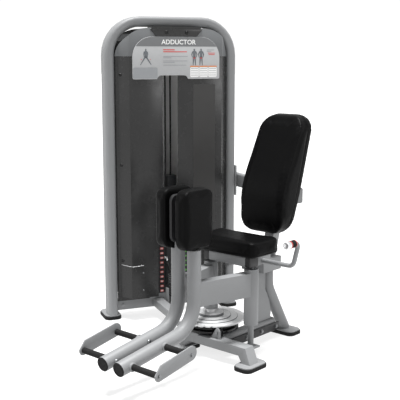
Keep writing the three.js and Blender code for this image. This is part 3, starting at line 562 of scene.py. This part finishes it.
def cushion(name, node, body, cap, held, voxel=0.0055):
    """An upholstered pad: the CAD block pulled in, remeshed, swollen as cloth and smoothed."""
    bm = merged_copy(node)
    bmesh.ops.recalc_face_normals(bm, faces=bm.faces)
    piece = add(name, mesh_from(name, bm), VINYL, None, 180)
    remesh = piece.modifiers.new("even", "REMESH")
    remesh.mode = "VOXEL"
    remesh.voxel_size = voxel
    relax = piece.modifiers.new("relax", "SMOOTH")
    relax.factor = 0.5
    relax.iterations = 4
    shrink = piece.modifiers.new("inset", "DISPLACE")
    shrink.strength = -INSET
    shrink.mid_level = 0
    apply_modifiers(piece)
    cloth_swell(piece, CLOTH_PRESSURE, cap, held)
    smooth = piece.modifiers.new("settle", "SMOOTH")
    smooth.factor = 0.5
    smooth.iterations = 3
    fine = piece.modifiers.new("fine", "SUBSURF")
    fine.levels = 1
    fine.render_levels = 1
    apply_modifiers(piece)
    for polygon in piece.data.polygons:
        polygon.use_smooth = True
    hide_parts(node)
    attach(piece, body)
    return piece


def on_surface(piece, points, lift):
    """The points moved onto a piece's surface and out by lift."""
    depsgraph = bpy.context.evaluated_depsgraph_get()
    tree = BVHTree.FromObject(piece, depsgraph)
    moved = []
    for point in points:
        nearest = tree.find_nearest(point)
        moved.append(nearest[0] + nearest[1] * lift)
    return moved


def seam(name, piece, loop, body, radius=0.0017):
    """A round piping cord laid along a closed loop on a cushion."""
    points = on_surface(piece, loop, 0.0004)
    for _ in range(3):
        count = len(points)
        points = [
            (points[i - 1] + points[i] * 2 + points[(i + 1) % count]) / 4 for i in range(count)
        ]
    bm = bmesh.new()
    tube(bm, points, radius, 8, closed=True)
    return add(name, mesh_from(name, bm), PIPING, body, 60)


def spread(outline, spacing):
    """Even points along a closed outline."""
    points = []
    for start, end in zip(outline, outline[1:] + outline[:1]):
        a = Vector(start)
        b = Vector(end)
        steps = max(1, round((b - a).length / spacing))
        points += [a.lerp(b, k / steps) for k in range(steps)]
    return points


HELD_DEPTH = 0.016  # the cushion's skin this close to its board stays put
seat = cushion(
    "seat_upholstery", "seat_cushion", "frame", 0.003, lambda p: p.z < SEAT_LOW.z + HELD_DEPTH,
)
seat_middle = (SEAT_LOW + SEAT_HIGH) / 2
seat_size = SEAT_HIGH - SEAT_LOW
ring = rounded_outline(seat_size.x - 0.004, seat_size.y - 0.004, 0.034, 8)
loop = [(seat_middle.x + x, seat_middle.y + y, SEAT_LOW.z + 0.012) for x, y in ring]
seam("seat_seam", seat, spread(loop, 0.008), "frame")

for hand, side in (("left", 1), ("right", -1)):
    low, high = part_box("thigh_pad_" + hand)
    board = low.x if side > 0 else high.x
    pad = cushion(
        "thigh_upholstery_" + hand, "thigh_pad_" + hand, hand + "_arm", 0.003,
        lambda p, board=board: abs(p.x - board) < HELD_DEPTH,
    )
    centre = (low + high) / 2
    size = high - low
    ring = rounded_outline(size.y - 0.004, size.z - 0.004, 0.042, 8)
    loop = [(board + side * 0.011, centre.y + y, centre.z + z) for y, z in ring]
    seam("thigh_seam_" + hand, pad, spread(loop, 0.008), hand + "_arm", 0.0013)
    # The pad's board stands off from the upholstery, on the arm's side.
    bm = bmesh.new()
    inward = Matrix(((0, 0, -side, 0), (side, 0, 0, 0), (0, 1, 0, 0), (0, 0, 0, 1)))
    board_at = Matrix.Translation((board, centre.y, centre.z)) @ inward
    slab(bm, rounded_outline(size.y - 0.075, size.z - 0.085, 0.03, 6), board_at, 0.008)
    slab(
        bm, rounded_outline(size.y - 0.052, size.z - 0.062, 0.034, 6),
        board_at @ Matrix.Translation((0, 0, 0.007)), 0.0135, 0.004,
    )
    name = "thigh_board_" + hand
    add(name, mesh_from(name, bm), BLACK_PLASTIC, hand + "_arm")

BACK_LOW, BACK_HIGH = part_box("back_cushion")


def behind_back(p):
    """The back pad's rear skin, which lies on its board."""
    lean = (p.z - BACK_LOW.z) / (BACK_HIGH.z - BACK_LOW.z)
    return p.y > BACK_LOW.y + 0.068 + lean * 0.175


back = cushion("back_upholstery", "back_cushion", "frame", 0.004, behind_back, voxel=0.0065)


def back_edge(side_gap):
    """A closed loop round the back pad, near its rear edge."""
    half = (BACK_HIGH.x - BACK_LOW.x) / 2 - side_gap
    tall = BACK_HIGH.z - BACK_LOW.z - 2 * side_gap
    centre = (BACK_LOW + BACK_HIGH) / 2
    loop = []
    for x, z in rounded_outline(2 * half, tall, 0.088, 10):
        share = (z + centre.z - BACK_LOW.z) / (BACK_HIGH.z - BACK_LOW.z)
        loop.append((centre.x + x, BACK_LOW.y + 0.058 + 0.2 * share, centre.z + z))
    return loop


seam("back_seam", back, spread(back_edge(0.002), 0.01), "frame")

# ---------------------------------------------------------------- arm ends, pegs and their bolts
PEGS = {"front": "foot_peg_front_", "rear": "foot_peg_rear_"}
ARM_TUBE_OFFSET = 0.053  # each arm tube's middle, to the side of the seat's middle
ARM_END = (0.807, 0.157)  # the tube's lower end: how far to the front, and how high
ARM_BEND = (0.300, 0.237)  # where the sloping stretch meets the upright one
ARM_TOP_FRONT = 0.300  # how far to the front the arm's upper end stands
for hand, side in (("left", 1), ("right", -1)):
    rider = hand + "_arm"
    arm_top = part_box("arm_frame_" + hand)[1].z
    tube_x = HOME.x + side * ARM_TUBE_OFFSET
    # The lower end is square to a tube that slopes down to the front.
    end = Vector((tube_x, HOME.y - ARM_END[0], ARM_END[1]))
    outward = Vector((0, ARM_BEND[0] - ARM_END[0], ARM_END[1] - ARM_BEND[1])).normalized()
    bm = bmesh.new()
    lathe(
        bm,
        [
            (0.0345, -0.002), (0.0348, 0.0015), (0.033, 0.0035), (0.028, 0.0042), (0.0262, 0.0028),
            (0.012, 0.0022), (0.004, 0.0022),
        ],
        Matrix.Translation(end) @ turn_to(outward), 40,
    )
    lathe(
        bm,
        [(0.0345, -0.001), (0.0345, 0.002), (0.031, 0.0045), (0.006, 0.005)],
        Matrix.Translation(Vector((tube_x, HOME.y - ARM_TOP_FRONT, arm_top))), 40,
    )
    add("arm_plugs_" + hand, mesh_from("arm_plugs_" + hand, bm), RUBBER, rider)

    collars = bmesh.new()
    bolts = []
    inner_heads = []
    for place, prefix in PEGS.items():
        low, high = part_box(prefix + hand)
        centre = (low + high) / 2
        root = low.x if side > 0 else high.x
        tip = high.x if side > 0 else low.x
        length = abs(tip - root)
        out = Vector((side, 0, 0))
        start = Vector((root, centre.y, centre.z))
        lathe(
            collars,
            [(0.0215, -0.006), (0.0215, 0.0035), (0.0195, 0.006), (0.0155, 0.0062)],
            Matrix.Translation(start) @ turn_to(out), 28,
        )
        bolts.append((Vector((tip, centre.y, centre.z)) + out * 0.0083, out))
        inner_heads.append((Vector((tube_x - side * 0.0335, centre.y, centre.z)), -out))
        # The sleeve is a rubber tube with rounded ends and shallow moulded rings.
        profile = [(0.0125, 0.0004), (0.0146, 0.0012)]
        ring_count = 26
        pitch = (length - 0.008) / ring_count
        for k in range(ring_count):
            z = 0.004 + pitch * k
            profile += [(0.0151, z), (0.0151, z + pitch * 0.6), (0.0147, z + pitch * 0.8)]
        profile += [(0.0151, length - 0.004), (0.0146, length - 0.0012), (0.0125, length - 0.0004)]
        sleeve = bmesh.new()
        lathe(sleeve, profile, Matrix.Translation(start) @ turn_to(out), 28)
        name = "peg_sleeve_%s_%s" % (place, hand)
        piece = add(name, mesh_from(name, sleeve), RUBBER, rider, 25)
        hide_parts(prefix + hand)
    name = "peg_collars_" + hand
    add(name, mesh_from(name, collars), PAINT, rider)
    fasteners("peg_bolts_" + hand, hex_head, bolts, 0.0085, ZINC, rider)
    fasteners(
        "peg_bolt_domes_" + hand, button_head, inner_heads, 0.0145, ZINC, rider,
    )

# ---------------------------------------------------------------- handles
GRIP_CAP = 0.030  # the knurled metal end takes this much of the grip's front
GRIP_RIBS = 9
KNURL_SIDES = 48
KNURL_ROWS = 9
for hand in ("left", "right"):
    low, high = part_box("handle_grip_" + hand)
    centre = (low + high) / 2
    radius = (high.x - low.x) / 2 - 0.0006
    grip_start = Vector((centre.x, high.y, centre.z))
    forward = turn_to((0, -1, 0))
    sleeve_length = high.y - low.y - GRIP_CAP
    profile = [(0.013, 0.0), (radius - 0.002, 0.0006), (radius - 0.0006, 0.004)]
    pitch = (sleeve_length - 0.012) / GRIP_RIBS
    for k in range(GRIP_RIBS):
        z = 0.006 + pitch * k
        profile += [
            (radius - 0.0002, z), (radius - 0.0002, z + pitch * 0.7), (radius - 0.0011, z + pitch * 0.85),
        ]
    profile += [
        (radius - 0.0006, sleeve_length - 0.005), (radius - 0.002, sleeve_length - 0.0008),
        (0.013, sleeve_length),
    ]
    bm = bmesh.new()
    lathe(bm, profile, Matrix.Translation(grip_start) @ forward, 32)
    name = "grip_sleeve_" + hand
    piece = add(name, mesh_from(name, bm), RUBBER, "frame", 25)
    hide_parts("handle_grip_" + hand)
    bm = bmesh.new()
    for z in (0.0025, sleeve_length - 0.0035):
        ring_profile = [
            (radius - 0.003, z - 0.002), (radius + 0.0003, z - 0.0015),
            (radius + 0.0003, z + 0.0015), (radius - 0.003, z + 0.002),
        ]
        lathe(bm, ring_profile, Matrix.Translation(grip_start) @ forward, 32)
    add("grip_rings_" + hand, mesh_from("grip_rings_" + hand, bm), RED, "frame")
    # The metal end: a knurled barrel with a dished face.
    start = grip_start + Vector((0, -sleeve_length - 0.0006, 0))
    bm = bmesh.new()
    rings = [circle_ring(radius - 0.004, 0, KNURL_SIDES)]
    for k in range(KNURL_ROWS + 1):
        z = 0.0015 + (GRIP_CAP - 0.006) * k / KNURL_ROWS
        ring = []
        for i in range(KNURL_SIDES):
            lifted = (i + k) % 2
            t = 2 * math.pi * i / KNURL_SIDES
            r = radius - 0.0011 + 0.0011 * lifted
            ring.append((r * math.cos(t), r * math.sin(t), z))
        rings.append(ring)
    face = ((radius - 0.002, 0.0022), (radius - 0.005, 0.0008), (radius - 0.009, 0.0014), (0.004, 0.0035))
    rings += [circle_ring(r, GRIP_CAP - gap, KNURL_SIDES) for r, gap in face]
    ring_mesh(bm, rings, Matrix.Translation(start) @ forward)
    add("grip_end_" + hand, mesh_from("grip_end_" + hand, bm), KNURL_METAL, "frame", 20)

# ---------------------------------------------------------------- cross tube
cross_low, cross_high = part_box("cross_tube")
cross_size = cross_high - cross_low
# A level is (out from the tube's end, growth over the tube's section, corner radius).
CAP_LEVELS = (
    (-0.026, 0.0035, 0.013), (0.0, 0.0045, 0.013), (0.003, 0.003, 0.012), (0.0045, -0.006, 0.008),
)
for hand, side in (("left", 1), ("right", -1)):
    face = (cross_low + cross_high) / 2
    face.x = cross_high.x if side > 0 else cross_low.x
    # A moulded cap that wraps the tube's end.
    cap_turn = Matrix(((0, 0, side, 0), (side, 0, 0, 0), (0, 1, 0, 0), (0, 0, 0, 1)))
    bm = bmesh.new()
    rings = []
    for z, grow, corner in CAP_LEVELS:
        outline = rounded_outline(cross_size.y + grow, cross_size.z + grow, corner, 5)
        rings.append([(x, y, z) for x, y in outline])
    ring_mesh(bm, rings, Matrix.Translation(face) @ cap_turn)
    name = "cross_tube_cap_" + hand
    add(name, mesh_from(name, bm), BLACK_PLASTIC, "frame")

# ---------------------------------------------------------------- bearing caps on the arms' sleeves
SLEEVE_TOP = 0.475
BEARING_CAP = (
    (0.0365, 0.0), (0.0365, 0.0045), (0.034, 0.0065), (0.024, 0.0065), (0.0215, 0.009),
    (0.0172, 0.009), (0.0168, 0.0),
)
for hand in ("left", "right"):
    shaft = middle("pivot_shaft_" + hand)
    cap_place = Matrix.Translation((shaft.x, shaft.y, SLEEVE_TOP + 0.0004))
    bm = bmesh.new()
    rings = [circle_ring(r, z, 36) for r, z in BEARING_CAP]
    ring_mesh(bm, rings + [rings[0]], cap_place, False, False)
    bmesh.ops.remove_doubles(bm, verts=bm.verts, dist=1e-6)
    name = "bearing_cap_" + hand
    add(name, mesh_from(name, bm), ZINC, hand + "_arm")

# ---------------------------------------------------------------- bolts and screws
low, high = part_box("side_bar")
bar_face = high.x + 0.0002
places = [
    (Vector((bar_face, high.y - gap, (low.z + high.z) / 2)), (1, 0, 0))
    for gap in (0.024, 0.154, 0.284, 0.40)
]
fasteners("side_bar_bolts", hex_head, places, 0.0085, ZINC, "frame")

FRONT = -BACK
SHROUD_FACE = -0.0703  # where the shroud's front panel lies, back from the tower's front face
SLOPE_IN = 0.284  # the panel's outer strip slopes back between these two places across
SLOPE_OUT = 0.334
SLOPE_FALL = 0.072
strips = [(u, z) for u in (-0.322, 0.322) for z in (0.36, 0.93, 1.45)]
slope_left = (FRONT * 0.55 - ACROSS * 0.5).normalized()
slope_right = (FRONT * 0.55 + ACROSS * 0.5).normalized()
places = []
for u, z in strips:
    share = (abs(u) - SLOPE_IN) / (SLOPE_OUT - SLOPE_IN)
    place = tower_at(u, -0.070 + SLOPE_FALL * share - 0.0008, z)
    places.append((place, slope_right if u > 0 else slope_left))
fasteners("shroud_screws", button_head, places, 0.0098, GLOSS_BLACK, "frame")
lower_marks = [(-0.213, 0.29), (-0.213, 0.185)]
places = [(tower_at(u, SHROUD_FACE - 0.0003, z), FRONT) for u, z in lower_marks]
fasteners("shroud_rivets", button_head, places, 0.0048, ZINC, "frame")
places = [(tower_at(u, SHROUD_FACE - 0.0068, 1.687), FRONT) for u in (-0.062, 0.062)]
fasteners("bracket_screws", button_head, places, 0.0105, GLOSS_BLACK, "frame")
places = [(tower_at(u, 0.0197, 0.080), FRONT) for u in (-0.315, 0.315)]
fasteners("base_beam_bolts", hex_head, places, 0.0085, ZINC, "frame")
guide_low, guide_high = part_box("guide_pulley")
guide = (guide_low + guide_high) / 2
places = [(Vector((guide.x, HOME.y - 0.0772, guide.z)), (0, -1, 0))]
fasteners("guide_pulley_bolt", hex_head, places, 0.0075, ZINC, "frame")
places = [
    (tower_at(0.4068 + 0.0122, v, z), ACROSS) for v in (0.028, 0.072) for z in (0.735, 0.865)
]
fasteners("brace_bolts", hex_head, places, 0.008, ZINC, "frame")

# ---------------------------------------------------------------- weight stack stickers
PLATE_PITCH = 0.029
STACK_FACE = -0.0103
STACK_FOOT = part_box("weight_stack_lower")[0].z


def sticker(bm, u, z, wide, tall, lift, corner):
    place = Matrix.Translation(tower_at(u, STACK_FACE - lift, z)) @ FACE_TURN
    slab(bm, rounded_outline(wide, tall, corner, 3), place, 0.0004)


def sticker_rows(bottom, count):
    return [bottom + PLATE_PITCH * k + 0.014 for k in range(count)]


groups = {
    "frame": sticker_rows(STACK_FOOT, 12),
    "carriage": sticker_rows(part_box("weight_plate_3")[0].z, 3),
}
for rider, rows in groups.items():
    red = bmesh.new()
    white = bmesh.new()
    green = bmesh.new()
    for z in rows:
        sticker(red, -0.078, z, 0.022, 0.0135, 0.0, 0.003)
        sticker(white, -0.078, z, 0.014, 0.0078, 0.0004, 0.002)
        place = Matrix.Translation(tower_at(0.076, STACK_FACE, z)) @ FACE_TURN
        lathe(green, [(0.0055, 0), (0.0055, 0.0004), (0.002, 0.0005)], place, 20)
    for name, marks, material in (
        ("stickers_red_" + rider, red, STICKER_RED),
        ("stickers_white_" + rider, white, STICKER_WHITE),
        ("stickers_green_" + rider, green, STICKER_GREEN),
    ):
        add(name, mesh_from(name, marks), material, rider)

# ---------------------------------------------------------------- placard print
PLACARD_FACE = SHROUD_FACE - 0.0053  # the front of the placard


def print_place(u, z, layer=0):
    return Matrix.Translation(tower_at(u, PLACARD_FACE - 0.0002 * layer, z)) @ FACE_TURN


def bars(bm, rows, layer=1):
    """Flat printed bars, each (u, z, width, height)."""
    for u, z, wide, tall in rows:
        slab(bm, rounded_outline(wide, tall, min(wide, tall) * 0.12, 2), print_place(u, z, layer), 0.0003)


def header_outline():
    """The band across the placard's head, inside its round shoulders."""
    half = 0.2645
    high = 1.6625
    radius = 0.1165
    base = 1.609
    start = math.asin((base - (high - radius)) / radius)
    right = []
    for k in range(11):
        t = start + (math.pi / 2 - start) * k / 10
        right.append((half - radius + radius * math.cos(t), high - radius + radius * math.sin(t)))
    left = [(-u, z) for u, z in reversed(right)]
    return right + left


bm = bmesh.new()
slab(bm, header_outline(), print_place(0, 0, 1), 0.0003)
add("placard_header", mesh_from("placard_header", bm), HEADER, "frame")

bm = bmesh.new()
bars(bm, [(-0.190, 1.459, 0.146, 0.062)])
add("placard_blank_badge", mesh_from("placard_blank_badge", bm), SOFT_INK, "frame")


def heading(words, u, z, tall):
    """Plain block lettering, as flat printed shapes centred on a place."""
    curve = bpy.data.curves.new(words, "FONT")
    curve.body = words
    curve.size = tall / 0.7
    curve.align_x = "CENTER"
    curve.offset = 0.0006
    curve.extrude = 0.00015
    curve.resolution_u = 4
    flat = bpy.data.objects.new(words, curve)
    bpy.context.scene.collection.objects.link(flat)
    bpy.context.view_layer.update()
    mesh = bpy.data.meshes.new_from_object(flat.evaluated_get(bpy.context.evaluated_depsgraph_get()))
    bpy.data.objects.remove(flat)
    bpy.data.curves.remove(curve)
    mesh.transform(print_place(u, z - tall / 2, 2))
    return mesh


add("placard_heading", heading("ADDUCTOR", 0.012, 1.6345, 0.026), PAPER, "frame", 30)


def capsule(bm, a, b, start, finish, layer=2):
    """A flat limb from a to b, with a width at each end."""
    a = Vector(a)
    b = Vector(b)
    along = (b - a).angle_signed(Vector((1, 0))) if (b - a).length else 0
    outline = []
    for centre, radius, first in ((b, finish / 2, -90), (a, start / 2, 90)):
        for k in range(7):
            t = math.radians(first + 30 * k) + along
            outline.append((centre.x + radius * math.cos(t), centre.y + radius * math.sin(t)))
    slab(bm, outline, print_place(0, 0, layer), 0.0003)


def figure(bm, u, z, size, spread_legs, spread_arms):
    """A plain standing figure, drawn from its hips."""
    def limb(a, b, start, finish):
        upper = (u + a[0] * size, z + a[1] * size)
        lower = (u + b[0] * size, z + b[1] * size)
        capsule(bm, upper, lower, start * size, finish * size)

    limb((0, 0.02), (0, 0.34), 0.15, 0.24)
    limb((0, 0.5), (0, 0.52), 0.12, 0.12)
    for side in (-1, 1):
        limb((side * 0.12, 0.36), (side * (0.12 + spread_arms), 0.2), 0.08, 0.06)
        limb((side * (0.12 + spread_arms), 0.2), (side * (0.08 + spread_arms), 0.02), 0.06, 0.05)
        limb((side * 0.05, 0.0), (side * (0.05 + spread_legs / 2), -0.26), 0.12, 0.08)
        limb((side * (0.05 + spread_legs / 2), -0.26), (side * (0.05 + spread_legs), -0.52), 0.08, 0.05)


bm = bmesh.new()
figure(bm, -0.187, 1.548, 0.08, 0.34, 0.03)
figure(bm, 0.108, 1.548, 0.085, 0.04, 0.07)
figure(bm, 0.150, 1.548, 0.085, 0.04, 0.07)
add("placard_figures", mesh_from("placard_figures", bm), INK, "frame")

MIDDLE_LINES = ((1.553, 0.150), (1.545, 0.05), (1.527, 0.148), (1.519, 0.07), (1.503, 0.140))
RIGHT_LINES = ((1.590, 0.045), (1.582, 0.028))
TABLE_COLUMNS = [0.083 + 0.0565 * column + 0.026 for column in range(3)]
text_rows = [(-0.083 + wide / 2, z, wide, 0.0032) for z, wide in MIDDLE_LINES]
text_rows += [(0.186 + wide / 2, z, wide, 0.0032) for z, wide in RIGHT_LINES]
for u in TABLE_COLUMNS:
    text_rows += [(u, 1.483 - 0.0125 * row, 0.046, 0.0028) for row in range(4)]
bm = bmesh.new()
bars(bm, text_rows, 2)
add("placard_lines", mesh_from("placard_lines", bm), SOFT_INK, "frame")
bm = bmesh.new()
RED_LINES = [
    (-0.048, 1.590, 0.07, 0.005), (-0.010, 1.579, 0.145, 0.005),
    (0.216, 1.572, 0.045, 0.0034), (0.216, 1.564, 0.038, 0.0034),
]
FIGURE_MARKS = [
    (0.108, 1.5435, 0.012, 0.005), (0.150, 1.5435, 0.012, 0.005),
    (-0.214, 1.535, 0.006, 0.003), (-0.160, 1.535, 0.006, 0.003),
]
bars(bm, RED_LINES, 2)
bars(bm, FIGURE_MARKS, 3)
add("placard_accents", mesh_from("placard_accents", bm), RED, "frame")
bm = bmesh.new()
bars(bm, [(u, 1.496, 0.053, 0.006) for u in TABLE_COLUMNS], 2)
add("placard_table_heads", mesh_from("placard_table_heads", bm), ORANGE, "frame")
bm = bmesh.new()
bars(bm, [(u, 1.4625, 0.053, 0.056) for u in TABLE_COLUMNS], 1)
add("placard_table_cells", mesh_from("placard_table_cells", bm), PAPER, "frame")

# ---------------------------------------------------------------- shroud inset, liner, trim and painted shade below the panels
bm = bmesh.new()
inset = [(x + 0.1715, z + 0.98) for x, z in rounded_outline(0.139, 0.826, 0.006, 3)]
slab(bm, inset, Matrix.Translation(tower_at(0, SHROUD_FACE, 0)) @ FACE_TURN, 0.0012, 0.0006)
add("shroud_inset", mesh_from("shroud_inset", bm), INSET_SHEET, "frame")
# A pale liner inside the rear shroud, seen through the slot between the front panels.
LINER_BACK = 0.1345
bm = bmesh.new()
slab(
    bm, [(x - 0.04, z + 0.86) for x, z in rounded_outline(0.46, 1.42, 0.004, 2)],
    Matrix.Translation(tower_at(0, LINER_BACK, 0)) @ FACE_TURN, 0.001,
)
add("rear_liner", mesh_from("rear_liner", bm), LINER, "frame")


def tower_block(bm, u, v, z):
    """A block between two places across, back and up in the tower."""
    corners = [(u[0], v[0]), (u[1], v[0]), (u[1], v[1]), (u[0], v[1])]
    rings = [[tower_at(a, b, level) for a, b in corners] for level in z]
    ring_mesh(bm, rings, IDENTITY)


bm = bmesh.new()
tower_block(bm, (-0.150, 0.150), (-0.0755, 0.004), (1.7105, 1.7217))
tower_block(bm, (-0.147, 0.147), (-0.0750, -0.060), (1.690, 1.7110))
# Two dark plates below the front panels, just in front of the beam, are painted shade: they stand for the
# shadowed gap between beam and shroud.
for edges in ((-0.3475, -0.100), (0.010, 0.3475)):
    tower_block(bm, edges, (0.0120, 0.0185), (0.1075, 0.162))
add("shroud_trim_and_shade_skirts", mesh_from("shroud_trim_and_shade_skirts", bm), SHROUD, "frame", 30)

# The rear casing carries shallow ribs and a row of screws down each side.
rear_corners = [Vector(v.co) - TOWER_HOME for v in NODES["rear_shroud"].data.vertices]
REAR_FACE = max(corner.dot(BACK) for corner in rear_corners)
REAR_ROOT = REAR_FACE - 0.0008
bm = bmesh.new()
for level in (0.42, 0.74, 1.06, 1.38):
    tower_block(bm, (-0.235, 0.235), (REAR_ROOT, REAR_FACE + 0.0045), (level, level + 0.018))
for across in (-0.264, 0.253):
    tower_block(bm, (across, across + 0.011), (REAR_ROOT, REAR_FACE + 0.0035), (0.24, 1.54))
add("rear_ribs", mesh_from("rear_ribs", bm), SHROUD, "frame", 30)
places = [
    (tower_at(u, REAR_FACE + 0.0002, z), BACK)
    for u in (-0.300, 0.300) for z in (0.26, 0.58, 0.90, 1.22, 1.52)
]
fasteners("rear_screws", button_head, places, 0.0075, ZINC, "frame")

# A thin bright lip near the foot of the left panel, bowed a little.
lip = []
for k in range(13):
    u = -0.328 + 0.118 * k / 12
    share = max(0.0, (-u - SLOPE_IN) / (SLOPE_OUT - SLOPE_IN))
    bow = 0.004 * math.sin(math.pi * k / 12)
    lip.append(tower_at(u, -0.0708 + SLOPE_FALL * share, 0.336 - bow))
bm = bmesh.new()
tube(bm, lip, 0.0014, 8)
add("panel_lip", mesh_from("panel_lip", bm), KNURL_METAL, "frame", 60)

# ---------------------------------------------------------------- selector pin
pin_low, pin_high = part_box("selector_pin")
pin_z = (pin_low.z + pin_high.z) / 2
bm = bmesh.new()
lathe(
    bm,
    [
        (0.0040, -0.058), (0.0044, -0.0565), (0.0044, 0.0), (0.0095, 0.0005), (0.0108, 0.003),
        (0.0108, 0.016), (0.0092, 0.0205), (0.004, 0.0215),
    ],
    Matrix.Translation(tower_at(0, -0.0243, pin_z)) @ turn_to(FRONT), 28,
)
piece = add("selector_pin_finish", mesh_from("selector_pin_finish", bm), STEEL, "pin")
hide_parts("selector_pin")

# A spare pin handle leans in front of the stack, with its coiled lanyard below it.
handle_top = tower_at(-0.064, -0.034, 0.372)
lean = tower_at(-0.029, -0.034, 0.268) - handle_top
bm = bmesh.new()
lathe(
    bm,
    [(0.003, 0.0), (0.0075, 0.001), (0.0085, 0.004), (0.0085, 0.027), (0.0065, 0.030)],
    Matrix.Translation(handle_top) @ turn_to(lean), 24,
)
add("spare_pin_tip", mesh_from("spare_pin_tip", bm), KNURL_METAL, "frame")
bm = bmesh.new()
lathe(
    bm,
    [
        (0.006, 0.030), (0.008, 0.031), (0.008, 0.060), (0.006, 0.063), (0.006, 0.085),
        (0.008, 0.087), (0.008, lean.length),
    ],
    Matrix.Translation(handle_top) @ turn_to(lean), 24,
)
add("spare_pin_grip", mesh_from("spare_pin_grip", bm), GLOSS_BLACK, "frame")
COIL_TURNS = 7
COIL_STEPS = 14  # points in each turn
COIL_RADIUS = 0.011
coil = []
for k in range(COIL_TURNS * COIL_STEPS + 1):
    turn = 2 * math.pi * k / COIL_STEPS
    level = 0.262 - 0.098 * k / (COIL_TURNS * COIL_STEPS)
    u = -0.034 + COIL_RADIUS * math.cos(turn)
    coil.append(tower_at(u, -0.034 + COIL_RADIUS * math.sin(turn), level))
bm = bmesh.new()
tube(bm, coil, 0.0022, 8)
add("lanyard_coil", mesh_from("lanyard_coil", bm), SOFT_GREY, "frame", 60)

# ---------------------------------------------------------------- floor and light
REACH = 60.0
floor_mesh = bpy.data.meshes.new("studio_floor")
floor_mesh.from_pydata(
    [(-REACH, -REACH, 0), (REACH, -REACH, 0), (REACH, REACH, 0), (-REACH, REACH, 0)], [], [(0, 1, 2, 3)]
)
floor = bpy.data.objects.new("studio_floor", floor_mesh)
bpy.context.scene.collection.objects.link(floor)
floor.location.z = -0.0005
floor_look = Shader("studio_floor_matt", (0.3, 0.3, 0.3), 0.95, Specular_IOR_Level=0.0)
floor_look.bump(floor_look.noise(40, 3), 0.0002, 0.1)
floor_look.principled.inputs["Emission Color"].default_value = (1, 1, 1, 1)
floor_look.principled.inputs["Emission Strength"].default_value = 0.76
floor_mesh.materials.append(floor_look.material)

# The backdrop is white to the camera and in reflections, and lights the object more dimly.
world = bpy.data.worlds.new("studio")
world.use_nodes = True
nodes = world.node_tree.nodes
links = world.node_tree.links
backdrop = nodes["Background"]
backdrop.inputs["Color"].default_value = (1, 1, 1, 1)
ray = nodes.new("ShaderNodeLightPath")
brightest = nodes.new("ShaderNodeMath")
brightest.operation = "MAXIMUM"
UNSEEN_STRENGTH = 0.41
for socket, (kind, seen) in enumerate((("Is Camera Ray", 1.05), ("Is Glossy Ray", 1.1))):
    strength = nodes.new("ShaderNodeMapRange")
    links.new(ray.outputs[kind], strength.inputs["Value"])
    strength.inputs["To Min"].default_value = UNSEEN_STRENGTH
    strength.inputs["To Max"].default_value = seen
    links.new(strength.outputs["Result"], brightest.inputs[socket])
links.new(brightest.outputs[0], backdrop.inputs["Strength"])
bpy.context.scene.world = world


def aimed(name, data, place, target):
    light = bpy.data.objects.new(name, data)
    light.location = place
    light.rotation_euler = (Vector(target) - Vector(place)).to_track_quat("-Z", "Y").to_euler()
    bpy.context.scene.collection.objects.link(light)


def area_light(name, place, target, size, power):
    data = bpy.data.lights.new(name, "AREA")
    data.shape = "DISK"
    data.size = size
    data.energy = power
    aimed(name, data, place, target)


overhead = bpy.data.lights.new("overhead", "SUN")
overhead.energy = 7.4
overhead.angle = math.radians(20)
aimed("overhead", overhead, (0.15, -0.35, 6.0), (0, 0, 0))
area_light("left_fill", (-3.4, -3.2, 2.2), (0, 0, 0.9), 1.6, 24)
area_light("right_rim", (4.2, 1.2, 2.6), (0.2, 0.1, 0.8), 1.4, 28)
